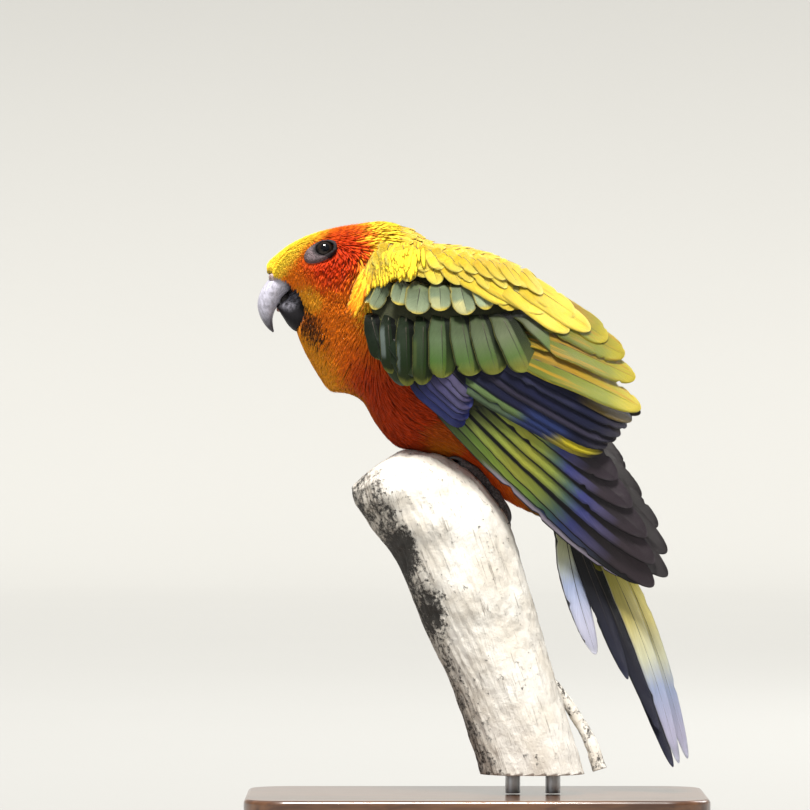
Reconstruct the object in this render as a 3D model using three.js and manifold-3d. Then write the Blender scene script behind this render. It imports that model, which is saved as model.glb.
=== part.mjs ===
// A sun conure, life size, as a still display model: the bird crouches on the end of a cut, bleached
// branch, which two short rods hold over a flat base.
// Millimetres, +Z up. The bird faces -X with its left side towards -Y. The origin is the middle of the
// underside of the base.

import * as THREE from "three";
import { mergeVertices } from "three/addons/utils/BufferGeometryUtils.js";
import Module from "manifold-3d";

const wasm = await Module();
wasm.setup();

// Clearances and the two upright planes that the parts are centred on
const GAP = 0.3;
const GROW = 0.35;
const BILL_GROW = 0.65;
const BIRD_Y = 3;
const BRANCH_Y = -4;

// Stand
const BASE = { length: 184, width: 120, height: 10, corner: 18, bevel: 1.6 };
const ROD = { radius: 3, spread: 8, top: 17.7 };
const BRANCH_END_Z = 18;

// The bird's outline, from the bill base to the tail root. Each station has a point on the back line, a
// point on the front line, the half width, and the level of the widest place, from -1 (front) to 1 (back).
const BODY = [
  { back: [-84.0, 218.4], front: [-70.4, 198.2], half: 5.8, rise: 0.2 }, // bill base
  { back: [-83.2, 221.8], front: [-70.9, 192.8], half: 7.8, rise: 0.25 }, // forehead
  { back: [-79.6, 225.3], front: [-69.6, 189.0], half: 10.0, rise: 0.3 },
  { back: [-73.4, 229.9], front: [-67.4, 184.6], half: 13.0, rise: 0.32 }, // lores
  { back: [-63.8, 234.1], front: [-63.4, 178.4], half: 16.4, rise: 0.35 }, // eye
  { back: [-50.4, 237.1], front: [-57.6, 171.8], half: 17.6, rise: 0.3 }, // crown and bib
  { back: [-36.4, 238.7], front: [-50.6, 170.6], half: 19.2, rise: 0.2 }, // hind crown
  { back: [-26.4, 235.4], front: [-45.0, 166.8], half: 21.4, rise: 0.1 }, // nape
  { back: [-17.0, 229.8], front: [-40.0, 157.6], half: 24.6, rise: 0.0 }, // neck
  { back: [-1.5, 227.4], front: [-31.0, 148.2], half: 28.0, rise: 0.0 }, // shoulders and breast
  { back: [18.0, 219.6], front: [-14.8, 144.6], half: 29.4, rise: 0.0 }, // mantle
  { back: [33.6, 202.4], front: [-0.4, 140.4], half: 27.4, rise: 0.0 }, // back and belly
  { back: [42.4, 182.6], front: [7.6, 130.4], half: 23.4, rise: 0.0 }, // flank
  { back: [45.4, 162.6], front: [15.4, 125.0], half: 18.0, rise: 0.0 }, // rump
  { back: [44.4, 142.6], front: [23.0, 121.6], half: 12.0, rise: 0.0 }, // vent
  { back: [41.5, 127.6], front: [30.5, 117.8], half: 7.0, rise: 0.0 }, // tail root
];
const BODY_RINGS = 30;
const BODY_SIDES = 23;
const BODY_SQUARENESS = 2.15;

// Soft swellings of the body: where each is, how far it reaches, and how far it pushes outwards
const SWELLINGS = [
  { at: [-61, 14, 206], reach: 10, push: [0, 1.4, -0.4] }, // cheek
  { at: [-73, 11, 204], reach: 10, push: [0.4, -4.6, 0] }, // narrows to the bill
  { at: [-53, 7, 174], reach: 9, push: [-1.2, 0.8, -1.0] }, // bib
  { at: [0, 15, 146], reach: 11, push: [0, 1.0, -1.0] }, // thigh
];

// Lines that part the head from the neck and the neck from the torso: a back point and a front point
const HEAD_LINE = { back: [-27, 240], front: [-66, 178] };
const NECK_LINE = { back: [-14, 232], front: [-42, 154] };

// Eye, bare skin round it, cere and nostrils. facing is the way that an eye looks
const EYE = { at: [-60.3, 11.2, 226.4], radius: 4.6, facing: [-0.16, 0.86, 0.48] };
const EYE_PATCH = { out: 2.3, shift: [-1.3, -0.9], size: [7.0, 4.5, 1.6], turn: 0.42 };
const LID = { ring: 3.5, thick: 0.7, out: 3.1 };
const CERE = { at: [-79.4, 3.1, 216.4], size: [3.9, 3.5, 2.4] };
const NOSTRIL = { at: [-79.2, 6.1, 217.3], radius: 0.8 };

// Hollow of the face that the bill fills, a cylinder across the head
const BILL_HOLLOW = { at: [-82.6, 204.0], radius: 13.9 };

// Bill, from its root in the head to its tip
const UPPER_BILL = [
  { back: [-78.6, 219.0], front: [-68.6, 215.4], half: 5.6, rise: 0.2 },
  { back: [-81.8, 216.6], front: [-71.6, 213.0], half: 6.4, rise: 0.2 },
  { back: [-84.8, 213.0], front: [-74.6, 210.9], half: 6.5, rise: 0.15 },
  { back: [-86.7, 209.2], front: [-76.9, 208.6], half: 5.9, rise: 0.1 },
  { back: [-87.4, 205.4], front: [-78.6, 205.8], half: 5.0, rise: 0.0 },
  { back: [-86.7, 201.6], front: [-80.4, 203.0], half: 3.9, rise: 0.0 },
  { back: [-85.2, 198.4], front: [-81.3, 199.8], half: 2.7, rise: 0.0 },
  { back: [-83.3, 195.9], front: [-81.2, 197.0], half: 1.5, rise: 0.0 },
  { back: [-81.5, 194.4], front: [-80.9, 195.2], half: 0.5, rise: 0.0 },
];
const LOWER_BILL = [
  { back: [-64.0, 212.0], front: [-62.5, 199.0], half: 5.4, rise: -0.2 },
  { back: [-69.6, 213.0], front: [-67.2, 195.0], half: 7.3, rise: -0.2 },
  { back: [-73.4, 210.8], front: [-71.8, 194.6], half: 7.2, rise: -0.2 },
  { back: [-76.2, 208.2], front: [-74.8, 196.8], half: 6.4, rise: -0.1 },
  { back: [-78.4, 206.0], front: [-77.0, 200.0], half: 4.9, rise: 0.0 },
  { back: [-79.6, 204.9], front: [-79.0, 203.2], half: 2.9, rise: 0.0 },
];
const BILL_RINGS = 12;
const BILL_SIDES = 12;
const TONGUE = { at: [-77.6, 204.6], size: [2.7, 2.3, 1.5], turn: -0.75 };

// Branch: its upper right line, its lower left line, and the size of its bark relief
const BRANCH = [
  { back: [45.6, 9.2], front: [8.4, -2.0], half: 18.0 },
  { back: [28.8, 65.2], front: [-9.2, 51.2], half: 19.6 },
  { back: [20.8, 93.2], front: [-20.4, 75.2], half: 21.6 },
  { back: [12.4, 119.2], front: [-30.8, 100.4], half: 22.6 },
  { back: [1.6, 134.8], front: [-39.2, 113.2], half: 22.0 },
  { back: [-10.4, 143.8], front: [-46.4, 122.8], half: 19.6 },
  { back: [-20.4, 146.6], front: [-49.0, 128.4], half: 16.0 },
  { back: [-28.0, 147.0], front: [-49.2, 131.6], half: 12.6 },
].map((station) => ({ ...station, rise: 0 }));
const BRANCH_RINGS = 22;
const BRANCH_SIDES = 17;
const BARK = { height: 0.55, along: 34, round: 5 };
const TWIG = {
  route: [
    [25, 1, 60],
    [33.2, 2, 50.4],
    [39.6, 2, 41.2],
    [45.4, 1, 31.2],
    [49.4, 0, 19.6],
  ],
  radii: [2.2, 2.4, 2.3, 2.6, 2.9],
};

// Feet: where each pad sits on the branch (share of its length, angle round it in degrees from the upper
// right line towards +Y), and each toe's reach along and round the branch, its length being set by both
const FEET = { left: { along: 0.56, round: 7 }, right: { along: 0.555, round: 52 } };
const TOES = [
  { along: 0.118, round: -17 },
  { along: 0.152, round: 13 },
  { along: -0.095, round: -15 },
  { along: -0.122, round: 15 },
];
const TOE = { radius: 2.0, tip: 1.5, arch: 0.9, claw: 0.05, clawRadius: 1.0, steps: 4, sides: 6, room: 0.45 };
const FOOT_PAD = { size: [3.2, 3.0, 2.3], lift: 0.9 };
const SHANK = { radius: 2.6, top: [-4, 152], spread: 8.5, knee: 8 };

// Wing surface. A wing lies on a smooth shell: along is measured from the shoulder to the wing tip, and
// across from that line towards the back.
const WING = {
  shoulder: [-30.4, 199.2],
  slope: -0.795,
  widest: 31.6,
  falls: { from: 36, over: 111, by: 22.6, power: 1.5 },
  front: { from: 20, over: 37, by: 7.2 },
  middle: 9,
  depth: 48.5,
  narrows: 0.1,
  bend: 0.8,
};
const RIGHT_WING = { turn: 0.045, shift: [1.5, -1] };

// Feather tiers of a wing. root and tip are lines that the feathers' ends are spread along, from the
// outermost feather to the innermost, bow lifts the middle of the tip line, and lift is the height over the
// shell. tilt raises each feather's outer web over its neighbour, and a plain feather has no shaft ridge.
const TIERS = [
  {
    name: "primaries",
    count: 7,
    root: [[-14.6, 163.6], [6.0, 173.2]],
    lengths: [100.8, 104.7, 107.7, 100.0, 89.2, 75.3, 61.9],
    angles: [-42.6, -43.6, -44.3, -42.4, -41.0, -39.8, -38.6],
    width: 11.5, lift: 0.2, tilt: 1.5, point: 0.62, rows: 4,
  },
  {
    name: "secondaries",
    count: 4,
    root: [[-15.0, 181.0], [3.0, 192.0]],
    tip: [[48.4, 145.8], [61.4, 158.4]],
    bow: -1.4,
    width: 11.5, lift: 2.0, tilt: 1.2, point: 0.8, rows: 3,
  },
  {
    name: "tertials",
    count: 3,
    root: [[12.4, 189.4], [22.6, 207.0]],
    tip: [[63.4, 163.4], [52.6, 189.6]],
    bow: 2.2,
    width: 13, lift: 3.2, tilt: 1.1, point: 0.76, rows: 3,
  },
  {
    name: "primary_coverts",
    count: 4,
    root: [[-27.4, 177.0], [-15.0, 184.0]],
    tip: [[-4.0, 157.6], [-1.2, 169.6]],
    bow: 0.3,
    width: 8.6, lift: 1.9, tilt: 0.8, point: 0.8, rows: 3, plain: true,
  },
  {
    name: "alula",
    count: 2,
    root: [[-43.4, 200.0], [-36.0, 196.0]],
    tip: [[-27.6, 174.2], [-21.0, 177.4]],
    bow: 0,
    width: 8.6, lift: 2.6, tilt: 0.8, point: 0.8, rows: 3, plain: true,
  },
  {
    name: "greater_coverts",
    count: 7,
    root: [[-41.0, 203.0], [12.0, 203.0]],
    tip: [[-34.4, 184.6], [34.4, 185.0]],
    bow: -8.6,
    width: 11.4, lift: 3.4, tilt: 1.0, point: 0.84, rows: 3, plain: true,
  },
  {
    name: "median_coverts",
    count: 6,
    root: [[-40.4, 213.0], [6.0, 214.6]],
    tip: [[-39.0, 201.4], [18.0, 199.0]],
    bow: -1.0,
    width: 11.2, lift: 4.6, tilt: 0.9, point: 0.84, rows: 2, plain: true,
  },
  {
    name: "scapulars",
    count: 3,
    root: [[-8.0, 219.0], [13.0, 219.0]],
    tip: [[14.0, 205.4], [45.0, 197.0]],
    bow: 1.6,
    width: 14.0, lift: 4.8, tilt: 0.7, point: 0.8, rows: 3, plain: true,
  },
];
const VANE = { thick: 0.95, thins: 0.62, shaft: 0.25, tip: 0.14, root: 0.55 };
const ROOT_SINK = 2.4;

// The flesh of the wing that the feathers root in: its lower and its upper edge, on the shell
const WING_CORE = {
  lower: [[-42.8, 205.0], [-37.6, 187.4], [-23.4, 171.2], [4.0, 154.0]],
  upper: [[-36.4, 213.6], [-10.4, 219.0], [13.0, 216.0], [28.0, 200.4]],
  inner: -4.5,
  outer: 0.6,
  steps: [9, 4],
};

// Tail feathers of one side, from the middle pair outwards: length, angle below level, sideways reach of
// the tip, and roll from the back towards the side
const TAIL = {
  root: [34.2, 122.4],
  lengths: [114.5, 108, 92, 74, 58],
  angles: [64.6, 65.6, 67.6, 72.0, 77.5],
  reach: [1.6, 3.4, 6.4, 9.6, 12.6],
  roll: [24, 35, 46, 54, 60],
  width: [10.5, 10.5, 10.5, 10, 9.4],
  step: [1.1, 1.1],
  plainFrom: 3,
};
const TAIL_CORE = [
  { back: [41.0, 131.0], front: [29.6, 124.0], half: 7.4, rise: 0 },
  { back: [43.4, 122.0], front: [30.6, 116.0], half: 7.6, rise: 0 },
  { back: [45.6, 112.0], front: [34.6, 106.4], half: 6.2, rise: 0 },
  { back: [47.4, 101.0], front: [40.6, 98.4], half: 2.6, rise: 0 },
];

const COLOURS = {
  crown: 0xf08a14,
  neck: 0xf0a81c,
  torso: 0xd8640e,
  wing: 0x7c9a2c,
  tail: 0x8a9440,
  bill: 0x34323a,
  tongue: 0x9a6a66,
  eye: 0x0c0a0c,
  leg: 0x5a5458,
  wood: 0xc9c3b6,
  base: 0x5c3a22,
  steel: 0x9a9ca0,
};

// Basic solids

const vector = (x, y, z) => new THREE.Vector3(x, y, z);
const mix = (a, b, t) => a + (b - a) * t;
const mixPoint = (a, b, t) => [mix(a[0], b[0], t), mix(a[1], b[1], t)];
const degrees = (angle) => (angle * Math.PI) / 180;

function solidFrom(vertProperties, triVerts) {
  const make = (faces) => new wasm.Manifold(new wasm.Mesh({ numProp: 3, vertProperties, triVerts: faces }));
  const made = make(triVerts);
  if (made.volume() > 0) return made;
  const turned = new Uint32Array(triVerts);
  for (let i = 0; i < turned.length; i += 3) [turned[i + 1], turned[i + 2]] = [turned[i + 2], turned[i + 1]];
  return make(turned);
}

function solidOf(geometry) {
  const bare = new THREE.BufferGeometry().setAttribute(
    "position",
    (geometry.index ? geometry.toNonIndexed() : geometry).getAttribute("position"),
  );
  const merged = mergeVertices(bare, 1e-4);
  return solidFrom(new Float32Array(merged.attributes.position.array), new Uint32Array(merged.index.array));
}

function geometryOf(solid) {
  const mesh = solid.getMesh();
  return new THREE.BufferGeometry()
    .setAttribute("position", new THREE.BufferAttribute(new Float32Array(mesh.vertProperties), 3))
    .setIndex(new THREE.BufferAttribute(new Uint32Array(mesh.triVerts), 1));
}

const union = (solids) => wasm.Manifold.union(solids);

const largest = (solid) =>
  solid.decompose().reduce((best, piece) => (piece.volume() > best.volume() ? piece : best));

function ellipsoid(at, size, turn = 0, sides = 14) {
  const geometry = new THREE.SphereGeometry(1, sides, Math.round(sides * 0.6));
  geometry.scale(...size).rotateY(turn).translate(...at);
  return solidOf(geometry);
}

// Rings of points, one after the other, closed by a pole at each end
function closedRings(rings, startPole, endPole) {
  const sides = rings[0].length;
  const points = [...rings.flat(), startPole, endPole];
  const start = points.length - 2;
  const end = points.length - 1;
  const faces = [];
  for (let i = 0; i < rings.length - 1; i++) {
    for (let j = 0; j < sides; j++) {
      const [a, b] = [i * sides + j, i * sides + ((j + 1) % sides)];
      const [c, d] = [a + sides, b + sides];
      faces.push(a, b, d, a, d, c);
    }
  }
  const last = (rings.length - 1) * sides;
  for (let j = 0; j < sides; j++) {
    const k = (j + 1) % sides;
    faces.push(start, k, j, end, last + j, last + k);
  }
  return solidFrom(new Float32Array(points.flatMap((p) => p.toArray())), new Uint32Array(faces));
}

// A smooth line through points
const smooth = (points) => new THREE.CatmullRomCurve3(points, false, "catmullrom", 0.5);

const railCurves = (stations) => ({
  back: smooth(stations.map((s) => vector(s.back[0], 0, s.back[1]))),
  front: smooth(stations.map((s) => vector(s.front[0], 0, s.front[1]))),
  size: smooth(stations.map((s) => vector(s.half, s.rise, 0))),
});

const power = (value, squareness) => Math.sign(value) * Math.abs(value) ** (2 / squareness);

// A solid drawn between a back line and a front line, with oval sections across it
function railSolid(stations, { rings, sides, middle, grow = 0, squareness = 2, caps = [1, 1], shape }) {
  const rails = railCurves(stations);
  const rows = [];
  const middles = [];
  for (let i = 0; i <= rings; i++) {
    const u = i / rings;
    const back = rails.back.getPoint(u);
    const front = rails.front.getPoint(u);
    const { x: half, y: rise } = rails.size.getPoint(u);
    const centre = back.clone().add(front).multiplyScalar(0.5);
    const up = back.clone().sub(front);
    const reach = up.length() / 2 + grow;
    up.normalize();
    middles.push(centre.clone().setY(middle));
    const row = [];
    for (let j = 0; j < sides; j++) {
      const angle = (2 * Math.PI * j) / sides;
      const c = power(Math.cos(angle), squareness);
      const level = c >= 0 ? rise + (1 - rise) * c : rise + (1 + rise) * c;
      const p = centre.clone().addScaledVector(up, reach * level);
      p.y = (half + grow) * power(Math.sin(angle), squareness);
      if (shape) shape(p, u, angle);
      p.y += middle;
      row.push(p);
    }
    rows.push(row);
  }
  const pole = (at, inner, bulge) =>
    at.clone().add(at.clone().sub(inner).normalize().multiplyScalar(bulge + grow));
  return closedRings(
    rows,
    pole(middles[0], middles[1], caps[0]),
    pole(middles[rings], middles[rings - 1], caps[1]),
  );
}

// A tube through points, with a radius at each
function tube(points, radii, sides = 8) {
  const rings = points.map((p, i) => {
    const along = points[Math.min(i + 1, points.length - 1)].clone().sub(points[Math.max(i - 1, 0)]).normalize();
    const aside = Math.abs(along.y) < 0.8 ? vector(0, 1, 0) : vector(1, 0, 0);
    const u = aside.clone().cross(along).normalize();
    const v = along.clone().cross(u);
    return Array.from({ length: sides }, (_, j) => {
      const angle = (2 * Math.PI * j) / sides;
      return p.clone().addScaledVector(u, radii[i] * Math.cos(angle)).addScaledVector(v, radii[i] * Math.sin(angle));
    });
  });
  const n = points.length;
  const pole = (at, inner, r) => at.clone().add(at.clone().sub(inner).normalize().multiplyScalar(r * 0.5));
  return closedRings(rings, pole(points[0], points[1], radii[0]), pole(points[n - 1], points[n - 2], radii[n - 1]));
}

// The space on one side of the plane that holds a line in XZ and runs along Y
function halfSpace(line, side) {
  const [bx, bz] = line.back;
  const [fx, fz] = line.front;
  const normal = vector(bz - fz, 0, fx - bx).normalize().multiplyScalar(side);
  const size = 600;
  const geometry = new THREE.BoxGeometry(size, size, size);
  geometry.rotateY(-Math.atan2(normal.z, normal.x));
  const away = normal.clone().multiplyScalar(size / 2 + GAP / 2);
  geometry.translate((bx + fx) / 2 + away.x, 0, (bz + fz) / 2 + away.z);
  return solidOf(geometry);
}

// One feather: a thin plate along a line, alike on both faces, with a rounded tip and, unless it is plain,
// a raised shaft. line(t) is its middle, face(t) points out of its upper face, and outward is its outer
// web's direction.
function vane({ line, face, outward, width, rows, point, plain, tilt = 0, camber = 0.5 }) {
  const stops = Array.from({ length: rows + 1 }, (_, k) => Math.sin((Math.PI / 2) * (k / rows)));
  const columns = plain ? [-1, 1] : [-1, 0, 1];
  const upper = [];
  const lower = [];
  for (const t of stops) {
    const p = line(t);
    const along = line(Math.min(1, t + 0.02)).sub(line(Math.max(0, t - 0.02))).normalize();
    const n = face(t).clone();
    n.addScaledVector(along, -n.dot(along)).normalize();
    const b = n.clone().cross(along).normalize();
    if (b.dot(outward) < 0) b.negate();
    const rounding = t <= point ? 1 : Math.sqrt(Math.max(0, 1 - ((t - point) / (1 - point)) ** 2));
    const half = (width / 2) * Math.max(VANE.tip, rounding) * mix(VANE.root, 1, Math.min(1, t / 0.35));
    const h = (VANE.thick / 2) * mix(1, VANE.thins, t);
    for (const c of columns) {
      const rise = (tilt * c * 2 * half) / width - camber * c * c + (c === 0 ? VANE.shaft : 0);
      const q = p.clone().addScaledVector(b, half * c).addScaledVector(n, rise);
      upper.push(q.clone().addScaledVector(n, h));
      lower.push(q.clone().addScaledVector(n, -h));
    }
  }
  const points = [...upper, ...lower];
  const under = upper.length;
  const wide = columns.length;
  const faces = [];
  const quad = (a, b, c, d) => faces.push(a, b, c, a, c, d);
  for (let k = 0; k < rows; k++) {
    for (let c = 0; c < wide - 1; c++) {
      const a = k * wide + c;
      quad(a, a + 1, a + wide + 1, a + wide);
      faces.push(under + a, under + a + wide + 1, under + a + 1);
      faces.push(under + a, under + a + wide, under + a + wide + 1);
    }
    const [left, right] = [k * wide, (k + 1) * wide - 1];
    quad(left, left + wide, under + left + wide, under + left);
    quad(right + wide, right, under + right, under + right + wide);
  }
  const end = rows * wide;
  for (let c = 0; c < wide - 1; c++) {
    quad(c + 1, c, under + c, under + c + 1);
    quad(end + c, end + c + 1, under + end + c + 1, under + end + c);
  }
  return solidFrom(new Float32Array(points.flatMap((p) => p.toArray())), new Uint32Array(faces));
}

// Body

function swell(p) {
  for (const { at, reach, push } of SWELLINGS) {
    for (const side of [-1, 1]) {
      const far = p.distanceTo(vector(at[0], at[1] * side, at[2]));
      const share = Math.exp(-((far / reach) ** 2));
      p.x += push[0] * share;
      p.y += push[1] * share * side;
      p.z += push[2] * share;
    }
  }
}

const bodySolid = (grow) =>
  railSolid(BODY, {
    rings: BODY_RINGS,
    sides: BODY_SIDES,
    middle: BIRD_Y,
    grow,
    squareness: BODY_SQUARENESS,
    caps: [1.5, 2],
    shape: swell,
  });

const bill = (stations, grow = 0) =>
  railSolid(stations, {
    rings: BILL_RINGS,
    sides: BILL_SIDES,
    middle: BIRD_Y,
    grow,
    squareness: 2.1,
    caps: [0.5, 0.2],
  });

const tongueShape = (grow) => {
  const [x, z] = TONGUE.at;
  return ellipsoid([x, BIRD_Y, z], TONGUE.size.map((size) => size + grow), TONGUE.turn, 10);
};

const sided = (at, side) => [at[0], BIRD_Y + at[1] * side, at[2]];

// Puts a shape that faces +Z, with +X along it, on the head at an eye, out mm from the eye's middle
function atEye(geometry, side, out, [shiftX, shiftZ] = [0, 0]) {
  const facing = vector(EYE.facing[0], EYE.facing[1] * side, EYE.facing[2]).normalize();
  const level = vector(1, 0, 0).addScaledVector(facing, -facing.x).normalize();
  const frame = new THREE.Matrix4().makeBasis(level, facing.clone().cross(level), facing);
  const [x, y, z] = sided(EYE.at, side);
  frame.setPosition(vector(x + shiftX, y, z + shiftZ).addScaledVector(facing, out));
  return solidOf(geometry.applyMatrix4(frame));
}

function eyePatch(side) {
  const geometry = new THREE.SphereGeometry(1, 14, 8).scale(...EYE_PATCH.size).rotateZ(-EYE_PATCH.turn * side);
  return atEye(geometry, side, EYE_PATCH.out, EYE_PATCH.shift);
}

const lidRing = (side) => atEye(new THREE.TorusGeometry(LID.ring, LID.thick, 5, 13), side, LID.out);

function headSolid(whole) {
  const added = [];
  const hollow = new THREE.CylinderGeometry(BILL_HOLLOW.radius, BILL_HOLLOW.radius, 60, 26);
  hollow.translate(BILL_HOLLOW.at[0], 0, BILL_HOLLOW.at[1]);
  const cut = [bill(UPPER_BILL, BILL_GROW), bill(LOWER_BILL, BILL_GROW), tongueShape(GAP)];
  const room = [];
  for (const side of [-1, 1]) {
    added.push(eyePatch(side));
    added.push(lidRing(side));
    added.push(ellipsoid(sided(CERE.at, side), CERE.size, 0, 11));
    room.push(ellipsoid(sided(EYE.at, side), Array(3).fill(EYE.radius + GAP), 0, 15));
    room.push(ellipsoid(sided(NOSTRIL.at, side), Array(3).fill(NOSTRIL.radius), 0, 6));
  }
  const face = whole.intersect(halfSpace(HEAD_LINE, -1)).subtract(solidOf(hollow));
  return largest(union([face, ...added]).subtract(union([...cut, ...room])));
}

// Branch

const branchSolid = (grow) =>
  railSolid(BRANCH, {
    rings: BRANCH_RINGS,
    sides: BRANCH_SIDES,
    middle: BRANCH_Y,
    grow,
    caps: [2, 2.5],
    shape: (p, u, angle) => {
      const ridge = Math.sin(BARK.round * angle + 3 * Math.sin(7 * u)) + 0.7 * Math.sin(BARK.along * u + 2 * angle);
      p.y *= 1 + (BARK.height / 20) * ridge;
      p.z += BARK.height * 0.5 * ridge * Math.cos(angle);
    },
  });

const branchRails = railCurves(BRANCH);

// A point at a share of the branch's length and an angle round it, lifted off its surface
function onBranch(along, round, lift) {
  const back = branchRails.back.getPoint(along);
  const front = branchRails.front.getPoint(along);
  const half = branchRails.size.getPoint(along).x;
  const centre = back.clone().add(front).multiplyScalar(0.5);
  const out = back.clone().sub(front);
  const reach = out.length() / 2;
  out.normalize();
  const angle = degrees(round);
  return centre
    .addScaledVector(out, (reach + lift) * Math.cos(angle))
    .setY(BRANCH_Y + (half + lift) * Math.sin(angle));
}

// Legs

function toe(pad, { along, round }, grow = 0) {
  const points = [];
  const radii = [];
  for (let k = 0; k <= TOE.steps; k++) {
    const t = k / TOE.steps;
    const knuckle = TOE.arch * Math.abs(Math.sin(2 * Math.PI * t)) * (1 - 0.5 * t);
    points.push(onBranch(pad.along + along * t, pad.round + round * t, TOE.radius + knuckle));
    radii.push(mix(TOE.radius, TOE.tip, t) * (k % 2 ? 0.9 : 1.05) + grow);
  }
  const claw = [];
  const clawRadii = [];
  const clawSteps = 3;
  for (let k = 0; k <= clawSteps; k++) {
    const t = k / clawSteps;
    const reach = 0.94 + (TOE.claw / Math.abs(along)) * Math.sin((Math.PI / 2) * t);
    const lift = TOE.tip + 1.2 * Math.sin(Math.PI * Math.min(1, 0.2 + 0.7 * t)) - 1.6 * t * t;
    claw.push(onBranch(pad.along + along * reach, pad.round + round * reach, lift));
    clawRadii.push(TOE.clawRadius * (1 - 0.8 * t) + grow);
  }
  return [tube(points, radii, TOE.sides), tube(claw, clawRadii, 5)];
}

function footSolid(side, grow = 0) {
  const pad = FEET[side];
  const at = onBranch(pad.along, pad.round, TOE.radius + FOOT_PAD.lift).toArray();
  return union([
    ellipsoid(at, FOOT_PAD.size.map((size) => size + grow), 0.6, 10),
    ...TOES.flatMap((reach) => toe(pad, reach, grow)),
  ]);
}

function legSolid(side, body, branch) {
  const pad = FEET[side];
  const sideways = side === "left" ? -1 : 1;
  const foot = onBranch(pad.along, pad.round, TOE.radius + FOOT_PAD.lift);
  const ankle = onBranch(pad.along, pad.round, SHANK.knee);
  const top = vector(SHANK.top[0], BIRD_Y + SHANK.spread * sideways, SHANK.top[1]);
  const shank = tube([foot, ankle, top], [SHANK.radius, SHANK.radius * 0.95, SHANK.radius * 1.3], 8);
  return largest(union([footSolid(side), shank.subtract(body)]).subtract(branch));
}

// Wings

const wingAxis = vector(Math.cos(WING.slope), 0, Math.sin(WING.slope));
const wingAcross = vector(-wingAxis.z, 0, wingAxis.x);

// Half width of the pair of wings at a place in the side view
function shellWidth(x, z) {
  const from = vector(x - WING.shoulder[0], 0, z - WING.shoulder[1]);
  const along = from.dot(wingAxis);
  const across = from.dot(wingAcross);
  const { falls, front } = WING;
  const behind = Math.max(0, (along - falls.from) / falls.over);
  const before = Math.max(0, (front.from - along) / front.over);
  const width = WING.widest - falls.by * behind ** falls.power - front.by * before ** 2;
  const depth = WING.depth - WING.narrows * Math.max(0, along);
  return width / (1 + ((across - WING.middle) / (depth * WING.bend)) ** 4);
}

// The left wing's shell point and its outward direction
function shell(x, z, lift) {
  const step = 0.5;
  const slopeX = (shellWidth(x + step, z) - shellWidth(x - step, z)) / (2 * step);
  const slopeZ = (shellWidth(x, z + step) - shellWidth(x, z - step)) / (2 * step);
  const out = vector(-slopeX, -1, -slopeZ).normalize();
  return { at: vector(x, -shellWidth(x, z), z).addScaledVector(out, lift), out };
}

function tierEnds(tier, i) {
  const share = tier.count > 1 ? i / (tier.count - 1) : 0;
  const root = mixPoint(tier.root[0], tier.root[1], share);
  if (tier.lengths) {
    const angle = degrees(tier.angles[i]);
    return { root, tip: [root[0] + tier.lengths[i] * Math.cos(angle), root[1] + tier.lengths[i] * Math.sin(angle)] };
  }
  const tip = mixPoint(tier.tip[0], tier.tip[1], share);
  const bow = tier.bow * 4 * share * (1 - share);
  return { root, tip: [tip[0] + bow * wingAcross.x, tip[1] + bow * wingAcross.z] };
}

function tierVane(tier, i) {
  const { root, tip } = tierEnds(tier, i);
  const place = (t) => {
    const [x, z] = mixPoint(root, tip, t);
    const rooted = Math.max(0, 1 - t / 0.3) ** 2;
    return shell(x, z, mix(tier.lift, -ROOT_SINK, rooted));
  };
  return vane({
    line: (t) => place(t).at,
    face: (t) => place(t).out,
    outward: wingAcross.clone().negate(),
    width: tier.width,
    rows: tier.rows,
    point: tier.point,
    plain: tier.plain,
    tilt: tier.tilt,
  });
}

function wingCore() {
  const [long, wide] = WING_CORE.steps;
  const edge = (points) => smooth(points.map(([x, z]) => vector(x, 0, z)));
  const lower = edge(WING_CORE.lower);
  const upper = edge(WING_CORE.upper);
  const rows = [];
  for (let i = 0; i <= long; i++) {
    const a = lower.getPoint(i / long);
    const b = upper.getPoint(i / long);
    const row = [];
    const ring = (lift, from, to) => {
      const count = Math.abs(to - from);
      for (let k = 0; k <= count; k++) {
        const v = mix(from, to, k / count) / wide;
        row.push(shell(mix(a.x, b.x, v), mix(a.z, b.z, v), lift).at);
      }
    };
    ring(WING_CORE.outer, 0, wide);
    ring(WING_CORE.inner, wide, 0);
    rows.push(row);
  }
  const middle = (row) => row.reduce((sum, p) => sum.add(p), vector(0, 0, 0)).divideScalar(row.length);
  return closedRings(rows, middle(rows[0]), middle(rows[long]));
}

function leftWing() {
  const vanes = TIERS.flatMap((tier) => Array.from({ length: tier.count }, (_, i) => tierVane(tier, i)));
  return geometryOf(union([wingCore(), ...vanes]));
}

function wingSolid(side, body) {
  const geometry = leftWing();
  if (side === "right") {
    geometry.scale(1, -1, 1);
    const [x, z] = WING.shoulder;
    const [shiftX, shiftZ] = RIGHT_WING.shift;
    geometry.translate(-x, 0, -z).rotateY(-RIGHT_WING.turn).translate(x + shiftX, 0, z + shiftZ);
  }
  geometry.translate(0, BIRD_Y, 0);
  return largest(solidOf(geometry).subtract(body));
}

// Tail

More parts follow.
